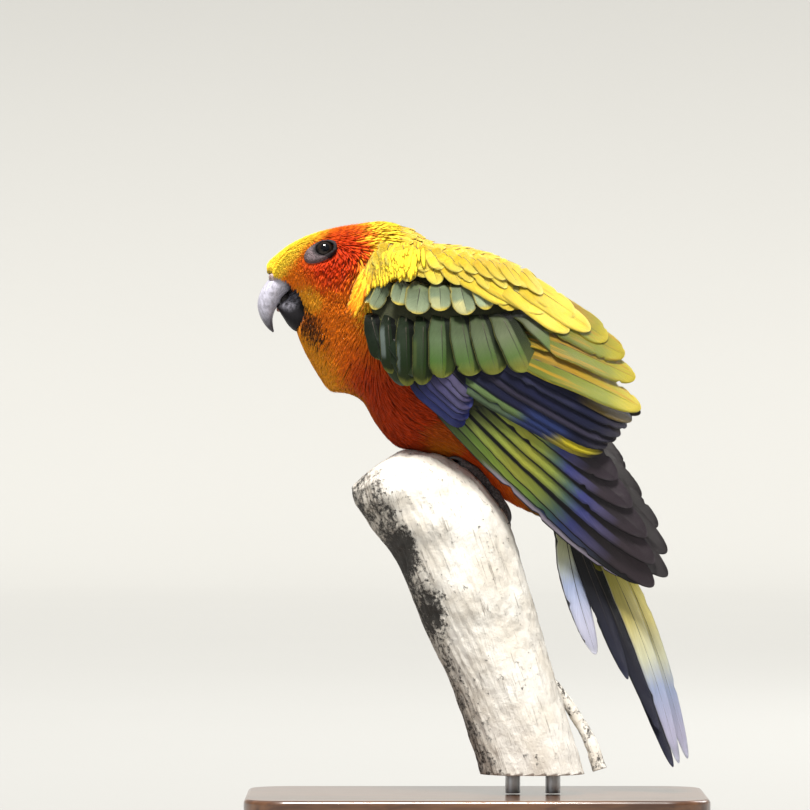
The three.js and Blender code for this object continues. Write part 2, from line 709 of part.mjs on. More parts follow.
function tailVane(j, side) {
  const angle = degrees(TAIL.angles[j]);
  const roll = degrees(TAIL.roll[j]);
  const length = TAIL.lengths[j];
  const above = vector(Math.sin(angle), 0, Math.cos(angle));
  const aside = vector(0, side, 0);
  const start = vector(TAIL.root[0], BIRD_Y, TAIL.root[1])
    .addScaledVector(above, 4.5 - TAIL.step[0] * j)
    .addScaledVector(aside, 0.9 + TAIL.step[1] * j);
  const end = start
    .clone()
    .add(vector(length * Math.cos(angle), 0, -length * Math.sin(angle)))
    .addScaledVector(aside, TAIL.reach[j] - TAIL.step[1] * j);
  const out = above.clone().multiplyScalar(Math.cos(roll)).addScaledVector(aside, Math.sin(roll));
  return vane({
    line: (t) => start.clone().lerp(end, t).addScaledVector(above, -2.4 * Math.sin(Math.PI * t) * (1 - 0.12 * j)),
    face: () => out,
    outward: aside,
    width: TAIL.width[j],
    rows: 4,
    point: 0.35,
    plain: j >= TAIL.plainFrom,
    camber: 0.8,
  });
}

function tailSolid(body) {
  const core = railSolid(TAIL_CORE, { rings: 6, sides: 12, middle: BIRD_Y, caps: [1, 1] });
  const vanes = [-1, 1].flatMap((side) => TAIL.lengths.map((_, j) => tailVane(j, side)));
  return largest(union([core, ...vanes]).subtract(body));
}

// Stand

function baseGeometry() {
  const { length, width, height, corner, bevel } = BASE;
  const x = length / 2 - bevel;
  const y = width / 2 - bevel;
  const r = corner - bevel;
  const outline = new THREE.Shape();
  outline.moveTo(-x + r, -y).lineTo(x - r, -y).absarc(x - r, -y + r, r, -Math.PI / 2, 0);
  outline.lineTo(x, y - r).absarc(x - r, y - r, r, 0, Math.PI / 2);
  outline.lineTo(-x + r, y).absarc(-x + r, y - r, r, Math.PI / 2, Math.PI);
  outline.lineTo(-x, -y + r).absarc(-x + r, -y + r, r, Math.PI, 1.5 * Math.PI);
  return new THREE.ExtrudeGeometry(outline, {
    depth: height - 2 * bevel,
    bevelThickness: bevel,
    bevelSize: bevel,
    bevelSegments: 1,
    curveSegments: 3,
  }).translate(0, 0, bevel);
}

function rodGeometry(x) {
  const bottom = BASE.height + GAP;
  const geometry = new THREE.CylinderGeometry(ROD.radius, ROD.radius, ROD.top - bottom, 14);
  return geometry.rotateX(Math.PI / 2).translate(x, BRANCH_Y, (ROD.top + bottom) / 2);
}

// The object

const object = new THREE.Group();

function add(name, shape, colour, roughness = 0.8, metalness = 0) {
  const geometry = shape.isBufferGeometry ? shape : geometryOf(shape);
  const material = new THREE.MeshStandardMaterial({ color: colour, roughness, metalness });
  const mesh = new THREE.Mesh(geometry, material);
  mesh.name = name;
  object.add(mesh);
}

const branchWhole = branchSolid(0);
const branchCut = halfSpace({ back: [1, BRANCH_END_Z], front: [-1, BRANCH_END_Z] }, -1);
const branch = branchWhole.intersect(branchCut);
const branchRoom = branchSolid(GROW);
const feetRoom = ["left", "right"].map((side) => footSolid(side, TOE.room));
const body = bodySolid(0).subtract(union([branchRoom, ...feetRoom]));
const bodyRoom = bodySolid(GROW);

add("head", headSolid(body), COLOURS.crown);
add("neck", largest(body.intersect(halfSpace(HEAD_LINE, 1)).intersect(halfSpace(NECK_LINE, -1))), COLOURS.neck);
add("torso", largest(body.intersect(halfSpace(NECK_LINE, 1))), COLOURS.torso);

const upperBill = bill(UPPER_BILL);
const lowerBill = bill(LOWER_BILL).subtract(union([bill(UPPER_BILL, GROW), tongueShape(GAP)]));
const tongue = tongueShape(0).subtract(bill(UPPER_BILL, GROW));
add("upper_bill", upperBill, COLOURS.bill, 0.35);
add("lower_bill", largest(lowerBill), COLOURS.bill, 0.4);
add("tongue", largest(tongue), COLOURS.tongue, 0.5);

for (const [name, side] of [["left", -1], ["right", 1]]) {
  add(`eye_${name}`, ellipsoid(sided(EYE.at, side), Array(3).fill(EYE.radius), 0, 14), COLOURS.eye, 0.08);
  add(`wing_${name}`, wingSolid(name, bodyRoom), COLOURS.wing, 0.6);
  add(`leg_${name}`, legSolid(name, bodyRoom, branchRoom), COLOURS.leg, 0.7);
}
add("tail", tailSolid(bodyRoom), COLOURS.tail, 0.6);

const twig = tube(TWIG.route.map((p) => vector(...p)), TWIG.radii, 8).subtract(branchRoom);
add("perch_branch", largest(branch), COLOURS.wood, 0.9);
add("perch_twig", largest(twig), COLOURS.wood, 0.9);

add("stand_base", baseGeometry(), COLOURS.base, 0.45);
const branchFoot = branchWhole.intersect(solidOf(new THREE.BoxGeometry(300, 300, 1).translate(0, 0, BRANCH_END_Z)));
const footBox = branchFoot.boundingBox();
const footX = (footBox.min[0] + footBox.max[0]) / 2;
add("stand_rod_1", rodGeometry(footX - ROD.spread), COLOURS.steel, 0.3, 0.9);
add("stand_rod_2", rodGeometry(footX + ROD.spread), COLOURS.steel, 0.3, 0.9);

export default object;
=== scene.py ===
"""A life-size sun conure on a cut, bleached branch over a display stand."""

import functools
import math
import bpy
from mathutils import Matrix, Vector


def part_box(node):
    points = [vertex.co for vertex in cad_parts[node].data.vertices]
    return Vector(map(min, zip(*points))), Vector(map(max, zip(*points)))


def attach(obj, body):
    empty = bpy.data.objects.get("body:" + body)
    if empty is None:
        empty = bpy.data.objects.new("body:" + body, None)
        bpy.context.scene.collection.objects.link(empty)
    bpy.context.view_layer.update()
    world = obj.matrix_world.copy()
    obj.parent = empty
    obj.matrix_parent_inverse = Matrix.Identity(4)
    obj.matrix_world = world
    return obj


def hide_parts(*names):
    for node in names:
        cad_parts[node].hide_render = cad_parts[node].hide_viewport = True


bl_info = {
    "name": "Sun Conure Display Model",
    "version": (1, 0, 0),
    "blender": (4, 5, 0),
    "location": "3D View > Sidebar > Conure",
    "description": "Builds a sun conure with its plumage, perch and display stand",
    "category": "Add Mesh",
}

import bpy
import numpy as np
from bpy.props import FloatProperty, FloatVectorProperty, IntProperty, PointerProperty
from mathutils import Vector, noise

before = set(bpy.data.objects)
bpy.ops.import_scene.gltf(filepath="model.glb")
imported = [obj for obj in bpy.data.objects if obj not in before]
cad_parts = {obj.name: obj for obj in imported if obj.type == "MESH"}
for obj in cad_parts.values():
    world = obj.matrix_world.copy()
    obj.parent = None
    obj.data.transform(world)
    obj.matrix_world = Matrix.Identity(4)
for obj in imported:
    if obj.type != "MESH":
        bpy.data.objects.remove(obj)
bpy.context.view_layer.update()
BODY_NAME = "root"
MM = 0.001

NO_TRIANGLES = np.zeros((0, 3), int)
NIGHT = (0.008, 0.008, 0.012)

# Upright planes that the bird and the branch are centred on, in millimetres
BIRD_Y = 3.0
BRANCH_Y = -4.0
SIDES = {"left": -1, "right": 1}

# Outline of the bird from the bill base to the tail root, in millimetres: a point on the back line, a point
# on the front line, the half width, and the level of the widest place
BODY = [
    (-84.0, 218.4, -70.4, 198.2, 5.8, 0.2),
    (-83.2, 221.8, -70.9, 192.8, 7.8, 0.25),
    (-79.6, 225.3, -69.6, 189.0, 10.0, 0.3),
    (-73.4, 229.9, -67.4, 184.6, 13.0, 0.32),
    (-63.8, 234.1, -63.4, 178.4, 16.4, 0.35),
    (-50.4, 237.1, -57.6, 171.8, 17.6, 0.3),
    (-36.4, 238.7, -50.6, 170.6, 19.2, 0.2),
    (-26.4, 235.4, -45.0, 166.8, 21.4, 0.1),
    (-17.0, 229.8, -40.0, 157.6, 24.6, 0.0),
    (-1.5, 227.4, -31.0, 148.2, 28.0, 0.0),
    (18.0, 219.6, -14.8, 144.6, 29.4, 0.0),
    (33.6, 202.4, -0.4, 140.4, 27.4, 0.0),
    (42.4, 182.6, 7.6, 130.4, 23.4, 0.0),
    (45.4, 162.6, 15.4, 125.0, 18.0, 0.0),
    (44.4, 142.6, 23.0, 121.6, 12.0, 0.0),
    (41.5, 127.6, 30.5, 117.8, 7.0, 0.0),
]
BODY_SQUARENESS = 2.15
BILL_SQUARENESS = 2.1

# Where the body swells or sinks: the place, how far it reaches, and how it moves
SWELLINGS = [
    ((-61, 14, 206), 10, (0, 1.4, -0.4)),
    ((-73, 11, 204), 10, (0.4, -4.6, 0)),
    ((-53, 7, 174), 9, (-1.2, 0.8, -1.0)),
    ((0, 15, 146), 11, (0, 1.0, -1.0)),
]

# The round hollow of the face that the bill sits in: its middle in the side view, and its radius
BILL_HOLLOW = ((-82.6, 204.0), 13.9)

UPPER_BILL = [
    (-78.6, 219.0, -68.6, 215.4, 5.6, 0.2),
    (-81.8, 216.6, -71.6, 213.0, 6.4, 0.2),
    (-84.8, 213.0, -74.6, 210.9, 6.5, 0.15),
    (-86.7, 209.2, -76.9, 208.6, 5.9, 0.1),
    (-87.4, 205.4, -78.6, 205.8, 5.0, 0.0),
    (-86.7, 201.6, -80.4, 203.0, 3.9, 0.0),
    (-85.2, 198.4, -81.3, 199.8, 2.7, 0.0),
    (-83.3, 195.9, -81.2, 197.0, 1.5, 0.0),
    (-81.5, 194.4, -80.9, 195.2, 0.5, 0.0),
]
LOWER_BILL = [
    (-64.0, 212.0, -62.5, 199.0, 5.4, -0.2),
    (-69.6, 213.0, -67.2, 195.0, 7.3, -0.2),
    (-73.4, 210.8, -71.8, 194.6, 7.2, -0.2),
    (-76.2, 208.2, -74.8, 196.8, 6.4, -0.1),
    (-78.4, 206.0, -77.0, 200.0, 4.9, 0.0),
    (-79.6, 204.9, -79.0, 203.2, 2.9, 0.0),
]

# Beads of the face: the middle, the half size along each axis, and the turn
TONGUE = ((-77.6, 0.0, 204.6), (2.7, 2.3, 1.5), -0.75)
CERE = ((-79.0, 3.3, 216.3), (3.9, 3.5, 2.4), 0.0)
# The nostril and gape beads are painted shade: dark beads where the holes are.
NOSTRIL = ((-78.8, 6.3, 217.2), (1.0, 0.55, 0.8), 0.0)
GAPE = ((-75.8, 0.0, 207.4), (2.9, 4.0, 2.6), 0.0)

# The eyes, and the bare patch of skin round each, in the eye's own plane
EYE_AT = (-60.3, 11.2, 226.4)
EYE_RADIUS = 4.6
EYE_FACING = (-0.16, 0.86, 0.48)
PATCH_OUT = 2.3
PATCH_SHIFT = (-1.3, -0.9)
PATCH_SIZE = (7.0, 4.5, 1.6)
PATCH_TURN = 0.42
PATCH_BROW = 0.84
PATCH_REACH = 1.12
PATCH_THICKNESS = 0.5
EYE_OPENING = (3.75, 3.15)
EYE_LOOK = (0.85, -0.7)
LID_RISE = 0.16
LID_DEPTH = 3.6
PUPIL_RADIUS = 1.85
IRIS_RADIUS = 3.1

# Outline of the branch from its foot to its top, as for the bird
BRANCH = [
    (45.6, 9.2, 8.4, -2.0, 18.0, 0.0),
    (28.8, 65.2, -9.2, 51.2, 19.6, 0.0),
    (20.8, 93.2, -20.4, 75.2, 21.6, 0.0),
    (12.4, 119.2, -30.8, 100.4, 22.6, 0.0),
    (1.6, 134.8, -39.2, 113.2, 22.0, 0.0),
    (-10.4, 143.8, -46.4, 122.8, 19.6, 0.0),
    (-20.4, 146.6, -49.0, 128.4, 16.0, 0.0),
    (-28.0, 147.0, -49.2, 131.6, 12.6, 0.0),
]
BRANCH_FOOT = 18.0
TWIG_ROUTE = [(25, 1, 60), (33.2, 2, 50.4), (39.6, 2, 41.2), (45.4, 1, 31.2), (49.4, 0, 19.6)]
TWIG_RADII = [2.2, 2.4, 2.3, 2.6, 2.9]

# The feet on the branch: the share of its length and the angle round it. The toes: their reach and swing
FEET = {"left": (0.56, 7), "right": (0.555, 52)}
TOES = [(0.118, -17), (0.152, 13), (-0.095, -15), (-0.122, 15)]
TOE_RADIUS = 2.0
TOE_TIP = 1.5
CLAW_RADIUS = 1.05
PAD_RADIUS = 3.1
FOOT_VOXEL = 0.34
SHANK_TOP = (-4.0, 8.5, 152.0)
SHANK_RADII = (2.6, 2.5, 3.4)

# The smooth surface that a folded wing lies on
WING_SHOULDER = (-30.4, 199.2)
WING_SLOPE = -0.795
WING_WIDEST = 31.6
RIGHT_TURN = 0.045
RIGHT_SHIFT = (1.5, -1.0)
ROOT_SINK = 2.4

# The parts that the small feathers are made in, as shares of the way from bill to tail
COAT_PARTS = {
    "head_front": (0.004, 0.16),
    "head_back": (0.16, 0.32),
    "neck": (0.32, 0.5),
    "body": (0.5, 0.96),
}
ROOT_GRID = (420, 300)

# The worn edges of a vane, as shares of its width, and how many rows of it are split
WORN_EDGE = 0.035
SLIT_DEPTH = 0.16
SLIT_SHARE = 0.05

# Rounded feathers of the back: the rows from nape to rump, and how many each has
MANTLE_ROWS = np.linspace(0.44, 0.86, 19)
MANTLE_COUNT = 13
MANTLE_THICKNESS = 0.22

# Loose feathers at the front and upper edge of a wing
SHOULDER_EDGE = [(-44.0, 208.0), (-42.5, 214.0), (-38.5, 219.0), (-32.0, 222.0), (-24.0, 223.0)]
SHOULDER_TUFTS = 620
SHOULDER_LIFT = 6.8

# Lower and upper edge of a wing's flesh, in the side view
FLESH_LOWER = [(-42.8, 205.0), (-37.6, 187.4), (-23.4, 171.2), (4.0, 154.0)]
FLESH_UPPER = [(-36.4, 213.6), (-10.4, 219.0), (13.0, 216.0), (33.0, 199.0)]

# Feather tiers of a wing, from the outermost feather of each to the innermost. root and tip are the lines
# that the ends lie along, or tips, or lengths and angles, set each tip. lift is the height over the wing's
# surface, bow curves the line of the tips, loose scatters them, and skew moves a vane off its line. On the
# far wing, far is the share of a feather's length, and drop is how much lower it lies.
TIERS = {
    "primaries": dict(
        root=((-14.6, 163.6), (6.0, 173.2)),
        lengths=(100.8, 104.7, 107.7, 100.0, 89.2, 75.3, 61.9),
        angles=(-42.6, -43.6, -44.3, -42.4, -41.0, -39.8, -38.6),
        count=7, width=15.0, skew=1.9, lift=0.2, tilt=1.7, point=0.6, rows=44,
    ),
    "secondaries": dict(
        root=((-15.0, 181.0), (3.0, 192.0)), tip=((48.4, 145.8), (61.4, 158.4)),
        count=7, width=11.0, lift=2.0, tilt=1.3, point=0.8, bow=-1.4, rows=34,
    ),
    "tertials": dict(
        root=((10.4, 188.0), (22.6, 208.0)),
        tips=((63.0, 162.6), (61.4, 174.4), (57.2, 183.4), (50.6, 190.0)),
        count=4, width=15.0, skew=1.2, lift=3.2, tilt=1.2, point=0.66, far=0.84, drop=4.0, rows=34,
    ),
    "primary_coverts": dict(
        root=((-27.4, 177.0), (-15.0, 184.0)), tip=((-4.0, 157.6), (-1.2, 169.6)),
        count=6, width=8.0, lift=1.9, tilt=0.9, point=0.8, bow=0.3, rows=20,
    ),
    "alula": dict(
        root=((-43.4, 200.0), (-36.0, 196.0)), tip=((-27.6, 174.2), (-21.0, 177.4)),
        count=3, width=8.0, lift=2.6, tilt=0.9, point=0.8, bow=0, rows=20,
    ),
    "greater_coverts": dict(
        root=((-42.0, 202.0), (14.0, 203.6)),
        tips=(
            (-37.0, 184.4), (-32.0, 178.2), (-26.4, 174.6), (-20.6, 174.4), (-13.4, 175.6), (-1.2, 176.4),
            (7.4, 177.6), (19.4, 178.8), (33.4, 184.8),
        ),
        count=9, width=(8, 8, 8.6, 9, 11, 11.6, 12.4, 13.6, 12), lift=3.4, tilt=1.3, point=0.78, rows=24,
    ),
    "median_coverts": dict(
        root=((-41.0, 214.0), (12.0, 214.6)),
        tips=(
            (-42.6, 205.4), (-40.0, 203.0), (-31.0, 203.8), (-23.8, 200.2), (-14.0, 202.6), (-4.4, 201.0),
            (3.8, 201.4), (11.6, 200.4), (19.4, 198.4),
        ),
        count=9, width=(6, 6.4, 8.2, 10.4, 9, 10, 8.6, 11, 9.6), lift=4.6, tilt=0.9, point=0.66, rows=18,
    ),
    "scapulars": dict(
        root=((-12.0, 220.0), (13.0, 214.6)),
        tips=((11.0, 205.0), (24.6, 200.2), (34.6, 192.2), (43.6, 193.2), (36.6, 199.6)),
        count=5, width=(11, 12.6, 13, 12.4, 12.0), lift=4.9, tilt=0.8, point=0.7, far=0.8, drop=2.0, rows=22,
    ),
    "lesser_coverts": dict(
        root=((-37.0, 222.0), (0.0, 222.6)), tip=((-38.5, 214.8), (9.0, 209.4)),
        count=9, width=8.2, lift=5.4, tilt=0.7, point=0.5, bow=1.4, loose=2.0, rows=14,
    ),
    "marginal_coverts": dict(
        root=((-36.0, 226.0), (6.0, 221.6)), tip=((-38.0, 218.6), (13.6, 209.6)),
        count=10, width=8.4, lift=6.0, tilt=0.7, point=0.5, bow=2.2, loose=2.0, far=0.8, rows=14,
    ),
    "shoulder_coverts": dict(
        root=((-33.0, 229.0), (13.0, 218.8)), tip=((-35.0, 222.6), (24.0, 207.6)),
        count=11, width=9.0, lift=5.6, tilt=0.7, point=0.5, bow=3.0, loose=2.0, far=0.75, drop=1.6, rows=14,
    ),
}

# The tail's pairs of feathers, from the middle one out. bulge bends a feather, and step is how far each pair
# lies under the last and further out.
TAIL_ROOT = (34.2, 122.4)
TAIL_MIDDLE_SHIFT = (3.8, 0.0, 0.0)
TAIL_TWIN_RISE = 4.2
# The finish of each pair from the middle one out: the middle one, three near black ones in painted shade over
# their dark inner webs, and the outer one.
TAIL_KINDS = (0, 1, 1, 1, 2)
TAIL = dict(
    lengths=(109, 111, 95, 71.5, 58),
    angles=(69.2, 68.2, 67.4, 69.4, 76.8),
    reach=(3.4, 4.8, 7.0, 9.8, 12.6),
    roll=(54, 52, 54, 57, 60),
    width=(9.8, 9.6, 9, 8.6, 11.2),
    bulge=(3.8, 1.6, 1.0, 0.4, -1.6),
    step=1.1,
)

BASE_SIZE = (184.0, 120.0, 10.0)
BASE_CORNER = 18.0
BASE_EDGE = 1.6
SHARP_ANGLE = 0.6
ROD_RADIUS = 3.0
ROD_EDGE = 0.4

# The floor's width and where it begins to curve up, in metres
FLOOR_SIZE = 12.0
FLOOR_REACH = 3.8

# The photograph: millimetres to a pixel, its side in pixels, and the place at its middle
PIXEL = 0.4
PHOTO_SIDE = 810
PHOTO_CENTRE = (-28.4, 165.2)
SENSOR = 36.0
AIM = (0.0, 0.0, 0.15)


def colour(name, description, default):
    """A colour that the user picks."""
    return FloatVectorProperty(
        name=name, description=description, subtype="COLOR", size=3, min=0, max=1, default=default
    )


def length(name, description, default):
    """A length in metres, given here in millimetres."""
    return FloatProperty(
        name=name, description=description, subtype="DISTANCE", unit="LENGTH", min=0, default=default * MM
    )


def amount(name, description, default, **limits):
    """A number that is not below zero, unless limits say more."""
    return FloatProperty(name=name, description=description, default=default, **{"min": 0, **limits})


class PlumageSettings(bpy.types.PropertyGroup):
    """Sizes and colours of the feathers."""

    seed: IntProperty(name="Seed", description="Start of the small variations between feathers", default=7)
    coat_depth: length("Coat depth", "How far the small feathers stand over the skin", 1.1)
    face_tuft: length("Face tuft", "Length of the shortest feathers, at the bill", 2.4)
    body_tuft: length("Body tuft", "Length of the small feathers of the breast", 8.5)
    mantle_feather: length("Mantle feather", "Length of the rounded feathers of the back", 11.0)
    vane_thickness: length("Vane thickness", "Thickness of a flight feather's vane", 0.32)
    yellow: colour("Yellow", "Nape, mantle and forehead", (1.0, 0.68, 0.04))
    orange: colour("Orange", "Cheek and neck", (0.86, 0.19, 0.005))
    red: colour("Red", "Round the eye and down the breast", (0.66, 0.04, 0.002))
    amber: colour("Amber", "Throat and whiskers of the cheek", (0.78, 0.31, 0.01))
    olive: colour("Olive", "Vent and under the tail", (0.09, 0.11, 0.012))
    green: colour("Green", "Greater coverts", (0.075, 0.15, 0.03))
    leaf: colour("Leaf green", "Pale webs of the primaries and coverts", (0.33, 0.4, 0.07))
    blue: colour("Blue", "Primary coverts and middle of the primaries", (0.06, 0.07, 0.25))
    navy: colour("Navy", "Secondaries", (0.01, 0.012, 0.035))
    slate: colour("Slate", "Tips of the primaries", (0.05, 0.038, 0.046))
    sky: colour("Sky blue", "Tips of the tail feathers", (0.38, 0.45, 0.66))


class BareSettings(bpy.types.PropertyGroup):
    """Colours of the bill, eyes and feet."""

    horn: colour("Bill", "Horn of the bill", (0.022, 0.02, 0.026))
    # Pale worn streaks, and the painted sheen on the upper bill's front.
    horn_sheen_and_wear: colour("Bill sheen", "Worn pale streaks and painted sheen of the bill", (0.66, 0.64, 0.76))
    ring: colour("Eye ring", "Bare skin round the eye", (0.17, 0.125, 0.135))
    iris: colour("Iris", "Colour round the pupil", (0.01, 0.006, 0.004))
    mouth: colour("Mouth", "Tongue and gape", (0.42, 0.2, 0.17))
    foot: colour("Foot", "Scales of the feet", (0.13, 0.11, 0.115))
    claw: colour("Claw", "Claws", (0.02, 0.018, 0.02))


class PerchSettings(bpy.types.PropertyGroup):
    """Sizes and colours of the branch and the stand."""

    bark_relief: length("Bark relief", "Depth of the weathered grain", 0.5)
    wood_pale: colour("Bleached wood", "Sunlit weathered wood", (0.82, 0.79, 0.73))
    wood_dark: colour("Dark wood", "Cracks, knots and lichen", (0.034, 0.03, 0.026))
    base_wood: colour("Base wood", "Polished wood of the base", (0.14, 0.062, 0.027))
    steel: colour("Rod", "Brushed metal of the rods", (0.58, 0.59, 0.6))


class StageSettings(bpy.types.PropertyGroup):
    """Floor, lights and camera."""

    floor: colour("Floor", "Pale floor and backdrop", (0.31, 0.31, 0.3))
    camera_distance: amount("Camera distance", "From the camera to the bird", 3.0, unit="LENGTH", min=0.5)
    key_power: amount("Key light", "Light of the distant main lamp on a square metre", 7.6)
    fill_power: amount("Fill light", "Power of the front light in watts", 3.5)
    rim_power: amount("Rim light", "Power of the light behind in watts", 9)
    sky_strength: amount("Surround", "Strength of the even light", 0.4)


def settings():
    """The scene's groups of settings, under short names."""
    scene = bpy.context.scene
    return scene.conure_plumage, scene.conure_bare, scene.conure_perch, scene.conure_stage


class Value:
    """A socket that takes part in Python expressions, which add Math nodes."""

    def __init__(self, finish, socket):
        self.finish = finish
        self.socket = socket

    def __add__(self, other):
        return self.finish.maths("ADD", self, other)

    __radd__ = __add__

    def __sub__(self, other):
        return self.finish.maths("SUBTRACT", self, other)

    def __rsub__(self, other):
        return self.finish.maths("SUBTRACT", other, self)

    def __mul__(self, other):
        return self.finish.maths("MULTIPLY", self, other)

    __rmul__ = __mul__

    def __truediv__(self, other):
        return self.finish.maths("DIVIDE", self, other)

    def __pow__(self, other):
        return self.finish.maths("POWER", self, other)

    def __abs__(self):
        return self.finish.maths("ABSOLUTE", self)

    def sine(self):
        return self.finish.maths("SINE", self)

    def rise(self, low, high):
        """0 below low, 1 above high, and smooth between them. low may be the larger."""
        ends = (high, low, 1.0, 0.0) if low > high else (low, high, 0.0, 1.0)
        inputs = dict(zip(("From Min", "From Max", "To Min", "To Max"), ends))
        kind = dict(interpolation_type="SMOOTHSTEP", clamp=True)
        return self.finish.node("ShaderNodeMapRange", kind, {"Value": self, **inputs}, "Result")


class Finish:
    """One node material, built from expressions."""

    def __init__(self, name, roughness=0.5, **constants):
        self.material = bpy.data.materials.new(name)
        self.material.use_nodes = True
        self.tree = self.material.node_tree
        self.shader = self.tree.nodes["Principled BSDF"]
        self.shader.inputs["Roughness"].default_value = roughness
        for socket, value in constants.items():
            self.shader.inputs[socket.replace("_", " ")].default_value = value

    def node(self, kind, settings, inputs, output=0):
        """Adds a node: its settings come first, then the values or links of its sockets."""
        made = self.tree.nodes.new(kind)
        for key, value in settings.items():
            if key == "stops":
                self.set_stops(made.color_ramp, value)
            else:
                setattr(made, key, value)
        for key, value in inputs.items():
            socket = made.inputs[key]
            if isinstance(value, Value):
                self.tree.links.new(value.socket, socket)
            else:
                socket.default_value = value
        return Value(self, made.outputs[output])

    @staticmethod
    def set_stops(ramp, stops):
        while len(ramp.elements) < len(stops):
            ramp.elements.new(1.0)
        for element, (place, shade) in zip(ramp.elements, stops):
            element.position = place
            element.color = (*shade, 1.0)

    def maths(self, operation, *values):
        return self.node("ShaderNodeMath", {"operation": operation}, dict(enumerate(values)))

    def blend(self, share, first, second, mode="MIX"):
        """A colour between two colours."""
        first, second = (c if isinstance(c, Value) else (*tuple(c)[:3], 1.0) for c in (first, second))
        return self.node(
            "ShaderNodeMix",
            {"data_type": "RGBA", "blend_type": mode, "clamp_result": True},
            {0: share, 6: first, 7: second},
            2,
        )

    def ramp(self, share, stops):
        return self.node("ShaderNodeValToRGB", {"stops": stops}, {0: share})

    def place(self):
        """Object coordinates, in millimetres."""
        at = self.node("ShaderNodeTexCoord", {}, {}, "Object")
        return self.node("ShaderNodeVectorMath", {"operation": "SCALE"}, {0: at, "Scale": 1000.0})

    def attribute(self, name, output="Fac"):
        return self.node("ShaderNodeAttribute", {"attribute_name": name}, {}, output)

    def chart(self, name):
        """The two coordinates of a UV map."""
        return self.parts(self.node("ShaderNodeUVMap", {"uv_map": name}, {}))[:2]

    def parts(self, vector):
        split = self.node("ShaderNodeSeparateXYZ", {}, {0: vector})
        outputs = split.socket.node.outputs
        return [Value(self, outputs[k]) for k in range(3)]

    def join(self, x, y, z):
        return self.node("ShaderNodeCombineXYZ", {}, {0: x, 1: y, 2: z})

    def noise(self, vector, scale, detail=2.0, rough=0.5):
        inputs = {"Vector": vector, "Scale": scale, "Detail": detail, "Roughness": rough}
        return self.node("ShaderNodeTexNoise", {}, inputs, "Fac")

    def cells(self, vector, scale, feature="F1"):
        inputs = {"Vector": vector, "Scale": scale}
        return self.node("ShaderNodeTexVoronoi", {"feature": feature}, inputs, "Distance")

    def done(self, shade, roughness=None, height=None, depth=0.0, coat=None):
        """Links a colour, a roughness, a coat and a bump, depth millimetres deep, and gives the material."""
        sockets = {"Base Color": shade, "Roughness": roughness, "Coat Weight": coat}
        if height is not None:
            inputs = {"Height": height, "Distance": depth * MM, "Strength": 1.0}
            sockets["Normal"] = self.node("ShaderNodeBump", {}, inputs)
        for name, value in sockets.items():
            if value is not None:
                self.tree.links.new(value.socket, self.shader.inputs[name])
        return self.material


def smooth_line(points, share):
    """Points of a smooth line through the given points, at shares of its length."""
    points = np.asarray(points, float)
    padded = np.vstack([2 * points[0] - points[1], points, 2 * points[-1] - points[-2]])
    place = np.clip(np.asarray(share, float), 0, 1) * (len(points) - 1)
    i = np.minimum(place.astype(int), len(points) - 2)
    t = (place - i)[..., None]
    a, b, c, d = padded[i], padded[i + 1], padded[i + 2], padded[i + 3]
    start, end = (c - a) / 2, (d - b) / 2
    return (2 * b - 2 * c + start + end) * t**3 + (3 * c - 3 * b - 2 * start - end) * t**2 + start * t + b


def unit(vectors):
    """Vectors of length one."""
    return vectors / np.maximum(np.linalg.norm(vectors, axis=-1, keepdims=True), 1e-9)


def rise(low, high, value):
    """0 at low, 1 at high, and smooth between them."""
    t = np.clip((value - low) / (high - low), 0, 1)
    return t * t * (3 - 2 * t)


def signed_power(value, squareness):
    return np.sign(value) * np.abs(value) ** (2 / squareness)


def rail_point(stations, u, angle, middle, grow=0.0, squareness=2.0):
    """A point on the form that is drawn between a back line and a front line."""
    row = smooth_line(stations, u)
    back, front, half, level = row[..., 0:2], row[..., 2:4], row[..., 4], row[..., 5]
    up = back - front
    size = np.linalg.norm(up, axis=-1)
    c = signed_power(np.cos(angle), squareness)
    s = signed_power(np.sin(angle), squareness)
    height = np.where(c >= 0, level + (1 - level) * c, level + (1 + level) * c) * (size / 2 + grow)
    flat = (back + front) / 2 + up / size[..., None] * height[..., None]
    return np.stack([flat[..., 0], middle + (half + grow) * s, flat[..., 1]], -1)


def body_point(u, angle, grow, hollowed=True):
    """A point of the bird's body, grow millimetres outside its outline, with or without the bill's hollow."""
    p = rail_point(BODY, u, angle, 0.0, grow, BODY_SQUARENESS)
    for at, reach, push in SWELLINGS:
        for side in (-1, 1):
            far = np.linalg.norm(p - np.array([at[0], at[1] * side, at[2]]), axis=-1)
            share = np.exp(-((far / reach) ** 2))[..., None]
            p = p + share * np.array([push[0], push[1] * side, push[2]])
    if hollowed:
        (x, z), radius = BILL_HOLLOW
        away = p[..., [0, 2]] - np.array([x, z])
        far = np.maximum(np.linalg.norm(away, axis=-1), 1e-6)
        room = np.maximum(radius - grow, far)
        p[..., 0] = x + away[..., 0] / far * room
        p[..., 2] = z + away[..., 1] / far * room
    p[..., 1] += BIRD_Y
    return p


def body_surface(u, angle, grow):
    """A point over the body, and its outward direction, as if the bill's hollow were filled."""
    at = body_point(u, angle, grow, False)
    lie = body_point(u + 0.004, angle, grow, False) - body_point(u - 0.004, angle, grow, False)
    around = body_point(u, angle + 0.02, grow, False) - body_point(u, angle - 0.02, grow, False)
    out = unit(np.cross(around, lie))
    inner = body_point(u, angle, -4.0, False)
    return at, out * np.sign(np.sum(out * (at - inner), -1, keepdims=True))


def body_slopes(u, angle):
    """How the body's surface runs for a step from bill to tail, and for a step round it."""
    over = (body_point(u + 0.003, angle, 0.0, False) - body_point(u - 0.003, angle, 0.0, False)) / 0.006
    return over, (body_point(u, angle + 0.02, 0.0, False) - body_point(u, angle - 0.02, 0.0, False)) / 0.04


